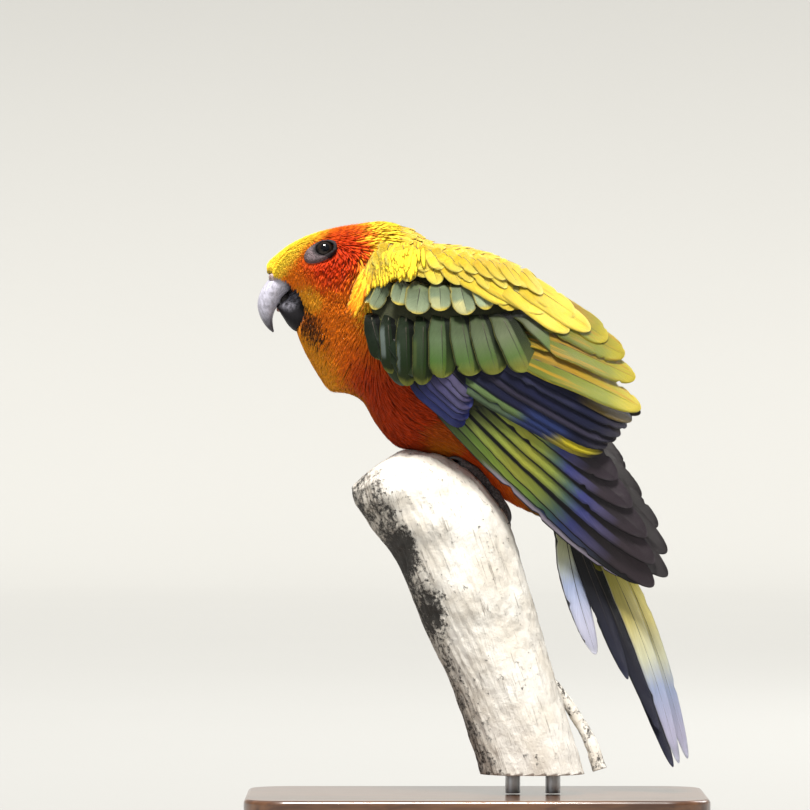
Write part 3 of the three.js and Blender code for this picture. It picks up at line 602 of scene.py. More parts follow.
def wing_axes(x, z):
    """How far a place in the side view lies along and above the folded wings' own line."""
    from_x, from_z = x - WING_SHOULDER[0], z - WING_SHOULDER[1]
    c, s = math.cos(WING_SLOPE), math.sin(WING_SLOPE)
    return from_x * c + from_z * s, -from_x * s + from_z * c


def wing_width(x, z):
    """Half width of the pair of folded wings at a place in the side view."""
    along, across = wing_axes(x, z)
    behind = np.maximum(0, (along - 36) / 111)
    before = np.maximum(0, (20 - along) / 37)
    width = WING_WIDEST - 22.6 * behind**1.5 - 7.2 * before**2
    depth = 48.5 - 0.1 * np.maximum(0, along)
    return width / (1 + ((across - 9) / (depth * 0.8)) ** 4)


def wing_surface(x, z, lift):
    """A point over the left wing's surface, and its outward direction. Feathers lie closer at the front."""
    lift = np.asarray(lift) * np.where(np.asarray(lift) > 0, 0.4 + 0.6 * rise(-46, -28, x), 1.0)
    slope_x = wing_width(x + 0.5, z) - wing_width(x - 0.5, z)
    slope_z = wing_width(x, z + 0.5) - wing_width(x, z - 0.5)
    out = unit(np.stack([-slope_x, -np.ones_like(slope_x), -slope_z], -1))
    at = np.stack([x, -wing_width(x, z), z], -1)
    return at + out * np.asarray(lift)[..., None], out


def as_right_wing(points):
    """Left wing points, before they are moved to the bird's middle, as the right wing has them."""
    x, z = points[..., 0] - WING_SHOULDER[0], points[..., 2] - WING_SHOULDER[1]
    c, s = math.cos(RIGHT_TURN), math.sin(RIGHT_TURN)
    turned_x = x * c - z * s + WING_SHOULDER[0] + RIGHT_SHIFT[0]
    turned_z = x * s + z * c + WING_SHOULDER[1] + RIGHT_SHIFT[1]
    return np.stack([turned_x, -points[..., 1], turned_z], -1)


def on_side(side, points):
    """Left wing points in their place on the bird's left or right side."""
    return (as_right_wing(points) if side == "right" else points) + np.array([0, BIRD_Y, 0])


def branch_point(along, round_degrees, lift):
    """A point over the branch at a share of its length and an angle round it."""
    angle = np.radians(np.asarray(round_degrees, float))
    return rail_point(BRANCH, np.asarray(along, float), angle, BRANCH_Y, np.asarray(lift, float))


def mesh_object(name, points, quads, triangles=NO_TRIANGLES):
    """A smooth object from arrays: points in millimetres, and faces of four and of three corners."""
    mesh = bpy.data.meshes.new(name)
    corners = np.concatenate([np.ravel(quads), np.ravel(triangles)]).astype(np.int32)
    starts = np.concatenate([np.arange(len(quads)) * 4, len(quads) * 4 + np.arange(len(triangles)) * 3])
    mesh.vertices.add(len(points))
    mesh.vertices.foreach_set("co", (np.asarray(points) * MM).astype(np.float32).ravel())
    mesh.loops.add(len(corners))
    mesh.loops.foreach_set("vertex_index", corners)
    mesh.polygons.add(len(starts))
    mesh.polygons.foreach_set("loop_start", starts.astype(np.int32))
    mesh.polygons.foreach_set("use_smooth", np.full(len(starts), True))
    mesh.update(calc_edges=True)
    made = bpy.data.objects.new(name, mesh)
    bpy.context.collection.objects.link(made)
    return made


def add_attribute(made, name, values):
    """Numbers or vectors that a material reads, one for each point."""
    values = np.asarray(values, np.float32)
    kind, field = ("FLOAT_VECTOR", "vector") if values.ndim == 2 else ("FLOAT", "value")
    made.data.attributes.new(name, kind, "POINT").data.foreach_set(field, values.ravel())


def add_chart(made, name, per_point):
    """A UV map from one place for each point."""
    mesh = made.data
    corners = np.empty(len(mesh.loops), np.int32)
    mesh.loops.foreach_get("vertex_index", corners)
    chart = mesh.uv_layers.new(name=name)
    chart.data.foreach_set("uv", np.asarray(per_point, np.float32)[corners].ravel())


def vectors_of(made, field):
    """One vector of each point of an object, as its mesh holds it."""
    flat = np.empty(len(made.data.vertices) * 3, np.float32)
    made.data.vertices.foreach_get(field, flat)
    return flat.reshape(-1, 3)


def points_of(made):
    """An object's points in millimetres."""
    return vectors_of(made, "co").astype(float) / MM


def set_points(made, points):
    made.data.vertices.foreach_set("co", (points * MM).astype(np.float32).ravel())
    made.data.update()


def pick(*chosen):
    """Selects these objects and nothing else. The first of them is made active."""
    bpy.ops.object.select_all(action="DESELECT")
    for one in chosen:
        one.select_set(True)
    bpy.context.view_layer.objects.active = chosen[0] if chosen else None


def name_new(name):
    """Names the object that an operator has just added."""
    made = bpy.context.object
    made.name = name
    made.data.name = name
    return made


def settle():
    """Moves the active object's place, turn and size into its mesh."""
    bpy.ops.object.transform_apply(location=True, rotation=True, scale=True)


def edit_all(action):
    """Does something to the whole mesh of the active object in edit mode."""
    bpy.ops.object.mode_set(mode="EDIT")
    bpy.ops.mesh.select_all(action="SELECT")
    action()
    bpy.ops.object.mode_set(mode="OBJECT")


def bead(name, at, size, turn=0.0, segments=28, rings=18, radius=1.0):
    """A ball in millimetres, stretched by size and turned about the y axis."""
    pick()
    bpy.ops.mesh.primitive_uv_sphere_add(segments=segments, ring_count=rings, radius=radius * MM)
    made = name_new(name)
    made.scale = size
    made.rotation_euler = (0, turn, 0)
    made.location = np.asarray(at) * MM
    settle()
    bpy.ops.object.shade_smooth()
    return made


def round_form(name, segments, rings, place):
    """A sphere with its points where place says, from the share between its poles and the angle round."""
    pick()
    bpy.ops.mesh.primitive_uv_sphere_add(segments=segments, ring_count=rings, radius=1)
    made = name_new(name)
    p = vectors_of(made, "co")
    share = np.arccos(np.clip(p[:, 2], -1, 1)) / math.pi
    angle = np.arctan2(p[:, 1], p[:, 0])
    set_points(made, place(share, angle))
    edit_all(lambda: bpy.ops.mesh.normals_make_consistent(inside=False))
    bpy.ops.object.shade_smooth()
    return made


def capped(share, angle, cap, surface, ends):
    """Places a sphere's points on a surface, with its ends drawn together to two poles."""
    u = np.clip((share - cap) / (1 - 2 * cap), 0, 1)
    p = surface(u, angle)
    near = np.clip(share / cap, 0, 1)
    far = np.clip((1 - share) / cap, 0, 1)
    for part, (middle, push) in ((near, ends[0]), (far, ends[1])):
        closed = np.sin(part * math.pi / 2)[:, None]
        bulge = np.cos(part * math.pi / 2)[:, None]
        p = middle + (p - middle) * closed + np.asarray(push) * bulge
    return p


def capped_form(name, segments, rings, cap, surface, ends):
    """A closed form on a surface. cap is the share of it that each end takes up."""
    return round_form(name, segments, rings, lambda share, angle: capped(share, angle, cap, surface, ends))


def end_middle(surface, u):
    """The middle of a surface's ring at one of its ends."""
    return surface(np.array([u, u]), np.array([0.0, math.pi])).mean(0)


def use(made, finish, slot, *nodes):
    """Gives a piece its material, sets it under the body, and hides the solids that it stands for. slot is
    not used.
    """
    made.data.materials.clear()
    for one in finish if isinstance(finish, list) else [finish]:
        made.data.materials.append(one)
    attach(made, BODY_NAME)
    if nodes:
        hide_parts(*nodes)
    return made


def join(pieces, name):
    """Joins objects into one."""
    pick(*pieces)
    bpy.ops.object.join()
    return name_new(name)


def apply_modifier(made, kind, **options):
    """Adds a modifier and applies it."""
    pick(made)
    modifier = made.modifiers.new(kind.title(), kind)
    for key, value in options.items():
        setattr(modifier, key, value)
    bpy.ops.object.modifier_apply(modifier=modifier.name)


def tube_form(name, points, radii, sides=16, rings=None):
    """A round bar along a line of points. rings draws it smoothly, in so many steps."""
    points = np.asarray(points, float)
    count = rings or len(points)
    share = np.linspace(0, 1, count)
    line = smooth_line(points, share) if rings else points
    thick = smooth_line(np.asarray(radii, float)[:, None], share)[:, 0] if rings else np.asarray(radii, float)
    curve = bpy.data.curves.new(name, "CURVE")
    curve.dimensions = "3D"
    curve.bevel_depth = MM
    curve.bevel_resolution = sides // 4 - 1
    curve.use_fill_caps = True
    spline = curve.splines.new("POLY")
    spline.points.add(count - 1)
    spline.points.foreach_set("co", np.hstack([line * MM, np.ones((count, 1))]).ravel())
    spline.points.foreach_set("radius", thick)
    made = bpy.data.objects.new(name, curve)
    bpy.context.collection.objects.link(made)
    pick(made)
    bpy.ops.object.convert(target="MESH")
    bpy.ops.object.shade_smooth()
    return name_new(name)


def blob(x, z, at, size):
    """The square of how far out a place is in an ellipse of the side view: 1 at its edge."""
    across, up = (x - at[0]) / size[0], (z - at[1]) / size[1]
    return across * across + up * up


def plumage_marks(finish, place, variety):
    """The colour of the body's feathers at a place. variety is -1 to 1, from feather to feather."""
    plumage = settings()[0]
    x, y, z = finish.parts(place)
    level = z - 217
    past_nape = x + 43.5 + 0.0145 * level * level + 5 * variety
    high = z - 206 + 0.85 * (x + 44) + 6 * variety
    nape = past_nape.rise(-4, 5) * high.rise(-7, 5)
    forehead = (x + 74.4 - 0.83 * (z - 222) + 2.5 * variety).rise(4, -3) * z.rise(209, 216)
    blush = (blob(x, z, (-57, 225), (15, 12)) + 0.25 * variety).rise(1.25, 0.1)
    whisker = (blob(x, z, (-66.5, 209.5), (8, 7)) + 0.5 * variety).rise(1.1, 0.2)
    inward = 0.83 * (x + 64) + 0.55 * (z - 182)
    throat = (inward + 3 * variety).rise(14, 3) * z.rise(203, 192) * x.rise(-38, -48)
    breast = (z + 0.5 * x).rise(178, 158) * x.rise(-56, -42)
    belly = (blob(x, z, (-19, 154), (11, 9)) + 0.3 * variety).rise(1.2, 0.2)
    rear = (x + 0.3 * (z - 150) + 4 * variety).rise(-2, 16) * z.rise(162, 150)
    vent = (x + 5 * variety).rise(11, 22) * z.rise(140, 130)
    # Painted shade: the breast beside the wing's front edge turns deep red-brown.
    shade_beside_wing = (x - 0.55 * (z - 190) + 5 * variety).rise(-50, -36) * z.rise(203, 190) * z.rise(142, 156)
    # Painted shadow under the bill: the chin's feathers turn near black here.
    chin_x, chin_z = x + 66.8, z - 199.2
    turned_x, turned_z = chin_x * 0.753 - chin_z * 0.66, chin_x * 0.66 + chin_z * 0.753
    chin_shadow = (blob(turned_x, turned_z, (0, 0), (9.0, 4.8)) + 1.7 * variety).rise(1.7, 0.2)
    shade = finish.blend(breast * 0.75, plumage.orange, plumage.red)
    layers = [
        (blush, plumage.red),
        (whisker * 0.75, (0.95, 0.44, 0.02)),
        (throat * 0.9, plumage.amber),
        (belly * 0.7, plumage.amber),
        (rear * 0.5, plumage.amber),
        (shade_beside_wing * 0.75, (0.34, 0.02, 0.001)),
        (chin_shadow * 0.95, (0.016, 0.007, 0.004)),
        (forehead, plumage.yellow),
        (nape, plumage.yellow),
        (vent, plumage.olive),
    ]
    for share, tint in layers:
        shade = finish.blend(share, shade, tint)
    return shade


def skin_finish():
    """Skin under the small feathers, in the same markings a little darker, with painted shade in the bill's
    hollow.
    """
    finish = Finish("Plumage ground", roughness=0.85)
    place = finish.place()
    variety = finish.noise(place, 0.35, 3) * 2 - 1
    down = finish.noise(place, 1.6, 4)
    x, y, z = finish.parts(place)
    middle, radius = BILL_HOLLOW
    # Painted shade: near black skin in the hollow round the bill's root.
    bill_hollow_shade = (blob(x, z, middle, (1, 1)) ** 0.5).rise(radius + 1.1, radius + 0.5)
    shade = finish.blend(0.25, plumage_marks(finish, place, variety), (0.5, 0.25, 0.06), "MULTIPLY")
    return finish.done(finish.blend(bill_hollow_shade, shade, (0.012, 0.009, 0.01)), None, down, 0.4)


def coat_finish():
    """Small body feathers. Each takes its colour from the place of its root, and painted shade darkens it
    towards the root.
    """
    finish = Finish("Small feathers", Sheen_Weight=0.04, Sheen_Roughness=0.4, Specular_IOR_Level=0.1)
    root = finish.attribute("root", "Vector")
    variety = finish.attribute("variety")
    along = finish.attribute("along")
    streak = finish.noise(finish.place(), 2.2, 2)
    shade = plumage_marks(finish, root, variety * 0.55 + (streak - 0.5) * 0.5)
    # Painted shade: each feather darkens towards its root, under its neighbours, over a tone that differs
    # from feather to feather.
    dark = (along.rise(0.0, 0.5) * 0.3 + 0.7) * (0.9 + 0.16 * variety + 0.1 * along)
    shade = finish.blend(1.0, shade, finish.join(dark, dark, dark), "MULTIPLY")
    return finish.done(shade, 0.62 + 0.2 * streak, streak, 0.12)


def vane_finish(
    name, outer, inner, rim=None, rim_width=0.1, web=0.5, tones=None, accents=(), under=0.85, sheen=0.0,
    edge_shadow=0.0, streak=None,
):
    """A feather's vane: colours along its outer and its inner web, a rim, fine barbs, and accents.

    web is where across the vane the outer web's colour begins, gap is a dark share at its edge, and streak is
    the colour of its long streaks. tones darkens feathers by their rank in the tier. under is how dark the
    lower side is. An accent is a colour, the ranks it is on, its stretch along the feather, and the place
    across where it begins."""
    finish = Finish(name, Sheen_Weight=sheen, Specular_IOR_Level=0.3)
    across, along = finish.chart("Vane")
    variety = finish.attribute("variety")
    rank = finish.attribute("rank")
    offset = abs(across - 0.5)
    barb_place = finish.join((along - offset * 0.5) * 95, across * 3, variety * 9)
    barbs = finish.noise(barb_place, 1.0, 3)
    fine = ((along - offset * 0.42) * 900).sine()
    shift = along + (barbs - 0.5) * 0.08 + variety * 0.03
    outside = (across + (barbs - 0.5) * 0.04).rise(web - 0.03, web + 0.03)
    shade = finish.blend(outside, finish.ramp(shift, inner), finish.ramp(shift, outer))
    streaks = finish.noise(finish.join(across * 9, along * 1.6, variety * 9), 1.0, 3)
    if streak:
        shade = finish.blend(streaks.rise(0.5, 0.68) * 0.8, shade, streak)
    if tones:
        shade = finish.blend(1.0, shade, finish.ramp(rank, tones), "MULTIPLY")
    for tint, ranks, stretch, side in accents:
        there = rank.rise(ranks[0] - 0.02, ranks[0] + 0.02) * rank.rise(ranks[1] + 0.02, ranks[1] - 0.02)
        begun = shift.rise(stretch[0] - 0.08, stretch[0] + 0.06)
        ended = shift.rise(stretch[1] + 0.05, stretch[1] - 0.06)
        beside = (across + (barbs - 0.5) * 0.08).rise(side - 0.04, side + 0.07)
        shade = finish.blend(there * begun * ended * beside, shade, tint)
    # Painted shadow: a near black line along the outer edge, for the shade between overlapping feathers.
    if edge_shadow:
        shade = finish.blend(across.rise(1 - edge_shadow, 1 - 0.6 * edge_shadow) * 0.95, shade, NIGHT)
    if rim:
        edge = (offset + (barbs - 0.5) * 0.12).rise(0.5 - rim_width, 0.5)
        tip = (shift + offset * 0.12).rise(0.93, 1.03)
        shade = finish.blend(finish.maths("MAXIMUM", edge * 0.45, tip * 0.9), shade, rim)
    shade = finish.blend(finish.attribute("under") * under, shade, (0.03, 0.026, 0.028))
    tone = 0.62 + 0.46 * barbs + 0.3 * streaks + 0.08 * variety
    shade = finish.blend(1.0, shade, finish.join(tone, tone, tone), "MULTIPLY")
    return finish.done(shade, 0.34 + 0.22 * barbs, fine * 0.5 + barbs * 2, 0.09)


def mantle_finish():
    """The rounded yellow feathers of the back."""
    yellow = settings()[0].yellow
    stops = [(0.0, (0.55, 0.34, 0.016)), (0.5, (1, 0.62, 0.03)), (0.95, yellow)]
    return vane_finish("Mantle feather", stops, stops, (1.0, 0.82, 0.16), 0.16, under=0.0, sheen=0.06)


def wing_finishes():
    """The finishes of a wing's tiers, in their order, and of the shafts. The last tiers share one."""
    plumage = settings()[0]
    gold = (0.62, 0.5, 0.03)
    primary = [
        (0.0, plumage.navy), (0.2, plumage.leaf), (0.34, (0.44, 0.45, 0.06)), (0.46, plumage.leaf),
        (0.55, (0.1, 0.17, 0.13)), (0.63, plumage.blue), (0.74, (0.09, 0.08, 0.17)), (0.84, plumage.slate),
    ]
    primary_tones = [
        (0.0, (0.3, 0.42, 0.5)), (0.17, (0.7, 0.95, 0.9)), (0.34, (1, 1, 1)), (1.0, (0.85, 0.85, 0.9)),
    ]
    primary_accents = [((0.4, 0.36, 0.46), (-0.1, 0.05), (0.34, 1.1), 0.84)]
    hidden = [(0.0, NIGHT), (0.6, NIGHT), (0.74, (0.03, 0.026, 0.03)), (0.9, plumage.slate)]
    secondary = [
        (0.0, plumage.navy), (0.5, (0.012, 0.014, 0.048)), (0.8, plumage.navy), (0.97, (0.03, 0.026, 0.04)),
    ]
    secondary_marks_and_sheen = [
        ((0.13, 0.2, 0.07), (0.0, 0.2), (0.12, 0.52), 0.72),
        ((0.024, 0.04, 0.14), (0.0, 0.35), (0.5, 0.74), 0.66),
        # The next two accents, violet-grey streaks, are painted sheen. The others are the feathers' own
        # green, blue, yellow and brown.
        ((0.038, 0.034, 0.062), (0.45, 0.6), (0.2, 0.95), 0.74),
        ((0.026, 0.028, 0.064), (0.8, 0.88), (0.1, 0.7), 0.74),
        ((0.7, 0.58, 0.03), (0.0, 0.2), (0.74, 0.95), 0.56),
        ((0.26, 0.18, 0.025), (0.9, 1.0), (0.72, 1.1), 0.3),
    ]
    tertial = [
        (0.0, (0.08, 0.1, 0.015)), (0.4, (0.16, 0.19, 0.03)), (0.75, (0.24, 0.26, 0.03)), (0.98, gold),
    ]
    tertial_in = [
        (0.0, (0.08, 0.09, 0.02)), (0.5, (0.33, 0.19, 0.012)), (0.8, (0.32, 0.28, 0.02)), (1.0, gold),
    ]
    covert_blue = [
        (0.0, plumage.navy), (0.4, (0.12, 0.11, 0.24)), (0.8, (0.15, 0.14, 0.27)), (1.0, (0.06, 0.05, 0.13)),
    ]
    covert_dark = [(0.0, NIGHT), (0.7, plumage.navy), (1.0, plumage.blue)]
    covert_tones = [
        (0.0, (0.3, 0.42, 0.9)), (0.3, (0.5, 0.6, 1)), (0.6, (0.9, 0.9, 1)), (1.0, (1.0, 0.95, 0.9)),
    ]
    front = [(0.0, (0.01, 0.02, 0.01)), (0.5, (0.018, 0.036, 0.016)), (1.0, (0.04, 0.06, 0.02))]
    greater = [
        (0.0, (0.02, 0.03, 0.01)), (0.45, (0.12, 0.17, 0.09)), (0.75, plumage.green),
        (0.95, (0.17, 0.19, 0.03)),
    ]
    greater_in = [
        (0.0, NIGHT), (0.6, (0.02, 0.035, 0.01)), (0.9, (0.05, 0.075, 0.015)), (1.0, (0.16, 0.18, 0.03)),
    ]
    greater_tones = [
        (0.0, (0.1, 0.13, 0.12)), (0.36, (0.14, 0.2, 0.12)), (0.46, (0.9, 1, 0.8)), (1.0, (1.3, 1.05, 1.1)),
    ]
    greater_streaks_and_highlights = [
        # The first two accents are painted highlights, pale streaks on the dark front coverts. The third is a
        # green streak.
        ((0.15, 0.19, 0.17), (0.08, 0.17), (0.3, 0.75), 0.7),
        ((0.09, 0.12, 0.1), (0.2, 0.3), (0.5, 0.85), 0.8),
        ((0.06, 0.09, 0.02), (0.32, 0.42), (0.45, 0.8), 0.78),
    ]
    median = [
        (0.0, (0.1, 0.12, 0.03)), (0.5, (0.26, 0.33, 0.2)), (0.86, (0.42, 0.5, 0.3)),
        (1.0, (0.85, 0.66, 0.1)),
    ]
    median_accents = [
        ((0.8, 0.6, 0.06), (0.84, 1.0), (0.3, 1.2), 0.0),
        ((0.7, 0.66, 0.3), (0.5, 0.7), (0.6, 1.2), 0.5),
    ]
    scapular = [
        (0.0, (0.4, 0.3, 0.02)), (0.4, (0.8, 0.58, 0.04)), (0.8, (1, 0.74, 0.08)), (1.0, plumage.yellow),
    ]
    lesser = [(0.0, (0.5, 0.32, 0.02)), (0.4, (1, 0.66, 0.04)), (1.0, (1, 0.8, 0.13))]
    return [
        vane_finish("Primary", primary, hidden, None, 0.1, 0.71, primary_tones, primary_accents, edge_shadow=0.045),
        vane_finish("Secondary", secondary, hidden, accents=secondary_marks_and_sheen),
        vane_finish("Tertial", tertial, tertial_in, gold, 0.06, under=0.2, streak=(0.42, 0.23, 0.015)),
        vane_finish("Primary covert", covert_blue, covert_dark, web=0.58, tones=covert_tones, edge_shadow=0.04),
        vane_finish("Alula", front, hidden, (0.1, 0.13, 0.1), 0.08),
        vane_finish(
            "Greater covert", greater, greater_in, (0.26, 0.28, 0.04), 0.05, 0.36, greater_tones,
            greater_streaks_and_highlights, edge_shadow=0.06,
        ),
        vane_finish("Median covert", median, median, (0.9, 0.7, 0.1), 0.12, accents=median_accents, edge_shadow=0.03),
        vane_finish(
            "Scapular", scapular, scapular, (1.0, 0.8, 0.14), 0.12, under=0.2, streak=(0.6, 0.38, 0.03)
        ),
        vane_finish("Lesser covert", lesser, lesser, (1.0, 0.84, 0.2), 0.14, under=0.0),
        shaft_finish(),
    ]


def tail_finishes():
    """The finishes of the middle, the shaded and the outer tail feathers, of the coverts and of the shafts.
    The shaded ones are near black: partly their dark inner webs, partly painted shade.
    """
    plumage = settings()[0]
    # Painted shade: near black for the tail feathers between the middle and the outer pair, over their dark
    # inner webs.
    shaded_tail = [(0.0, (0.02, 0.02, 0.012)), (0.5, (0.014, 0.014, 0.02)), (1.0, (0.02, 0.022, 0.05))]
    middle = [
        (0.0, (0.3, 0.28, 0.035)), (0.3, (0.46, 0.4, 0.08)), (0.45, (0.66, 0.57, 0.2)),
        (0.6, (0.68, 0.68, 0.48)), (0.72, plumage.sky), (0.88, (0.6, 0.58, 0.78)),
    ]
    outer = [(0.0, (0.5, 0.48, 0.12)), (0.3, (0.6, 0.62, 0.4)), (0.5, plumage.sky), (0.8, (0.62, 0.62, 0.78))]
    cover = [(0.0, (0.08, 0.08, 0.015)), (0.6, (0.14, 0.14, 0.02)), (1.0, (0.24, 0.22, 0.03))]
    # Under tail coverts: their olive, darkened towards the root as painted shade under the tail.
    below = [(0.0, (0.02, 0.026, 0.008)), (0.6, (0.035, 0.04, 0.01)), (1.0, (0.09, 0.09, 0.015))]
    return [
        vane_finish("Middle tail feather", middle, middle, (0.4, 0.42, 0.5), 0.05),
        vane_finish("Shaded tail feather", shaded_tail, shaded_tail),
        vane_finish("Outer tail feather", outer, outer, (0.6, 0.6, 0.7), 0.06),
        vane_finish("Upper tail covert", cover, cover),
        vane_finish("Under tail covert", below, below),
        shaft_finish(),
    ]


def flesh_finish():
    """Dark down between the roots of the wing's feathers."""
    finish = Finish("Wing down", roughness=0.85)
    down = finish.noise(finish.place(), 1.4, 4)
    return finish.done(finish.blend(down, (0.012, 0.014, 0.008), (0.05, 0.055, 0.015)), None, down, 0.3)


def shaft_finish():
    """The shafts of the flight feathers."""
    finish = Finish("Feather shaft")
    shade = finish.ramp(finish.attribute("along"), [(0.0, (0.12, 0.1, 0.07)), (0.6, (0.03, 0.025, 0.025))])
    return finish.done(shade, 0.25 + 0.2 * finish.noise(finish.place(), 1.2))


def horn_finish(name, low=False):
    """The bill's dark horn, with worn pale growth streaks, and a painted highlight on the upper bill's front
    that the streaks brighten. The low half is darker, with a small painted highlight near its upper front.
    """
    bare = settings()[1]
    finish = Finish(name, Coat_Roughness=0.25, Specular_IOR_Level=0.2 if low else 0.5)
    place = finish.place()
    x, y, z = finish.parts(place)
    stretched = finish.join(x * 0.55 + z * 0.2, y * 1.3, z * 0.3 - x * 0.12)
    streaks = finish.noise(stretched, 1.1, 4, 0.6)
    flakes = finish.noise(place, 1.7, 4, 0.65)
    worn = (streaks * 0.75 + flakes * 0.35).rise(0.38, 0.72)
    # Painted highlight: the upper bill's front and top turn pale, and the worn streaks show most there.
    front = (x + 0.45 * (z - 205)).rise(-70.5, -74) * z.rise(196, 204)
    pale = front * 0.5 + worn * (0.08 + 0.45 * front)
    # The low half keeps only a small painted highlight, in the worn streaks near its upper front, and is near
    # black elsewhere.
    if low:
        away_x, away_z = x + 74.6, z - 209
        pale = (away_x * away_x + away_z * away_z * 0.6).rise(34, 4) * 0.32 * worn
    dark, rough, coat = ((0.007, 0.006, 0.008), 0.5, 0.1) if low else (bare.horn, 0.28, 0.35)
    shade = finish.blend(pale, dark, bare.horn_sheen_and_wear)
    return finish.done(shade, rough + 0.3 * flakes, streaks * 0.7 + flakes * 0.3, 0.16, coat * streaks)


def bare_skin_finish(name, shade, dark, scale, lidded=False):
    """Bare skin with fine creases. A lidded one darkens towards the eye and at its outer edge."""
    finish = Finish(name, Specular_IOR_Level=0.25)
    place = finish.place()
    creases = finish.cells(place, scale)
    mottle = finish.noise(place, scale * 0.35, 3)
    mix = (creases * 0.6 + mottle * 0.9).rise(0.42, 0.92)
    if lidded:
        lid = finish.attribute("lid")
        x, y, z = finish.parts(place)
        low_front = (x * 0.5 + (z - EYE_AT[2]) + 30).rise(2.2, -3.0)
        mix = mix * lid.rise(0.08, 0.45) * (0.1 + 0.9 * low_front)
    return finish.done(finish.blend(mix, dark, shade), 0.45 + 0.25 * mottle, creases + mottle * 0.5, 0.22)


def eye_finish():
    """A wet dark eye: pupil, iris and the edge that the lid shades."""
    bare = settings()[1]
    finish = Finish("Wet eye", roughness=0.08, IOR=1.4, Coat_Weight=0.3, Specular_IOR_Level=0.3)
    ring = finish.attribute("ring")
    rays = finish.noise(finish.place(), 2.2, 3)
    iris = finish.blend(rays, bare.iris, (0.014, 0.008, 0.005))
    shade = finish.blend(ring.rise(PUPIL_RADIUS - 0.15, PUPIL_RADIUS), (0.002, 0.002, 0.003), iris)
    return finish.done(finish.blend(ring.rise(IRIS_RADIUS - 0.5, IRIS_RADIUS), shade, (0.006, 0.005, 0.005)))


def foot_finish():
    """Scaled grey skin of the toes and shank."""
    bare = settings()[1]
    finish = Finish("Foot scales")
    place = finish.place()
    scales = finish.cells(place, 0.95, "DISTANCE_TO_EDGE")
    dust = finish.noise(place, 0.9, 4)
    shade = finish.blend(scales.rise(0.02, 0.16), (0.045, 0.036, 0.036), bare.foot)
    shade = finish.blend(dust.rise(0.45, 0.75) * 0.5, shade, (0.3, 0.27, 0.26))
    return finish.done(shade, 0.5 + 0.3 * dust, scales.rise(0.0, 0.2), 0.3)


def claw_finish():
    """Worn horn of the claws."""
    bare = settings()[1]
    finish = Finish("Claw")
    wear = finish.noise(finish.place(), 1.5, 3)
    shade = finish.blend(wear * 0.35, bare.claw, (0.2, 0.18, 0.18))
    return finish.done(shade, 0.22 + 0.25 * wear, wear, 0.06)


def hole_shade_finish():
    """Painted shade in the nostrils and in the mouth's corner, near black."""
    finish = Finish("Nostril and gape shade", roughness=0.7)
    shade_mottle = finish.noise(finish.place(), 2.0)
    return finish.done(finish.blend(shade_mottle, (0.006, 0.005, 0.005), (0.02, 0.014, 0.014)))


def wood_finish():
    """Bleached branch: pale grain, fine cracks, dark specks, a rough dark hollow, and a lower left side
    darkened partly by rough bark and partly as painted shade.
    """
    perch = settings()[2]
    finish = Finish("Bleached wood")
    place = finish.place()
    x, y, z = finish.parts(place)
    grain_place = finish.join(x + 0.33 * z, y, 0.05 * z - 0.02 * x)
    grain = finish.noise(grain_place, 0.9, 5, 0.62)
    patches = finish.noise(place, 0.07, 4, 0.6)
    specks = finish.noise(place, 0.55, 6, 0.78)
    lichen = finish.noise(place, 0.16, 5, 0.7)
    # The lower left side: browner, with more cracks and dark specks, partly rough bark and partly painted
    # shade on the side away from the light.
    lower_left_bark_and_shade = (x + 0.42 * (z - 100) + 24).rise(7, -5)
    hollow = finish.attribute("hollow")
    dark = (specks * 0.6 + lichen * 0.4 + 0.1 * lower_left_bark_and_shade + 0.2 * hollow).rise(0.57, 0.67)
    crack = (grain + 0.1 * lower_left_bark_and_shade).rise(0.56, 0.72)
    pale = finish.blend(patches.rise(0.38, 0.66), perch.wood_pale, (0.7, 0.65, 0.57))
    brown = finish.blend(lower_left_bark_and_shade * 0.45, pale, (0.3, 0.25, 0.19))
    shade = finish.blend(crack * 0.65, brown, (0.13, 0.1, 0.075))
    shade = finish.blend(dark * 0.97, shade, finish.blend(grain, perch.wood_dark, (0.01, 0.009, 0.008)))
    relief = grain * 0.6 - dark * 0.6 + specks * 0.6 + lichen * 0.5
    return finish.done(shade, 0.7 + 0.25 * specks, relief, 0.7)


def base_finish():
    """Dark polished wood with its grain along the base."""
    perch = settings()[2]
    finish = Finish("Polished base")
    x, y, z = finish.parts(finish.place())
    bend = finish.noise(finish.join(x * 0.012, y * 0.03, z * 0.03), 1.0, 2)
    rings = finish.noise(finish.join(x * 0.01, y * 0.22 + bend * 6, z * 0.22), 1.0, 5, 0.6)
    pores = finish.noise(finish.join(x * 0.09, y * 2.4, z * 2.4), 1.0, 2)
    shade = finish.blend(rings.rise(0.3, 0.72), (0.05, 0.02, 0.009), perch.base_wood)
    shade = finish.blend(pores.rise(0.6, 0.75) * 0.5, shade, (0.02, 0.009, 0.005))
    return finish.done(shade, 0.24 + 0.18 * pores, pores, 0.04, 0.5 + 0.2 * rings)


def steel_finish():
    """Brushed metal."""
    perch = settings()[2]
    finish = Finish("Brushed rod", Metallic=1.0)
    x, y, z = finish.parts(finish.place())
    brush = finish.noise(finish.join(x * 0.3, y * 0.3, z * 9), 1.0, 3)
    return finish.done(finish.blend(brush, perch.steel, (0.42, 0.42, 0.43)), 0.2 + 0.25 * brush, brush, 0.02)


LANCE = [(0.0, 0.5), (0.35, 1.0), (0.75, 0.8)]
PETAL = [(0.0, 0.5), (0.3, 0.9), (0.65, 1.0), (0.88, 0.72)]


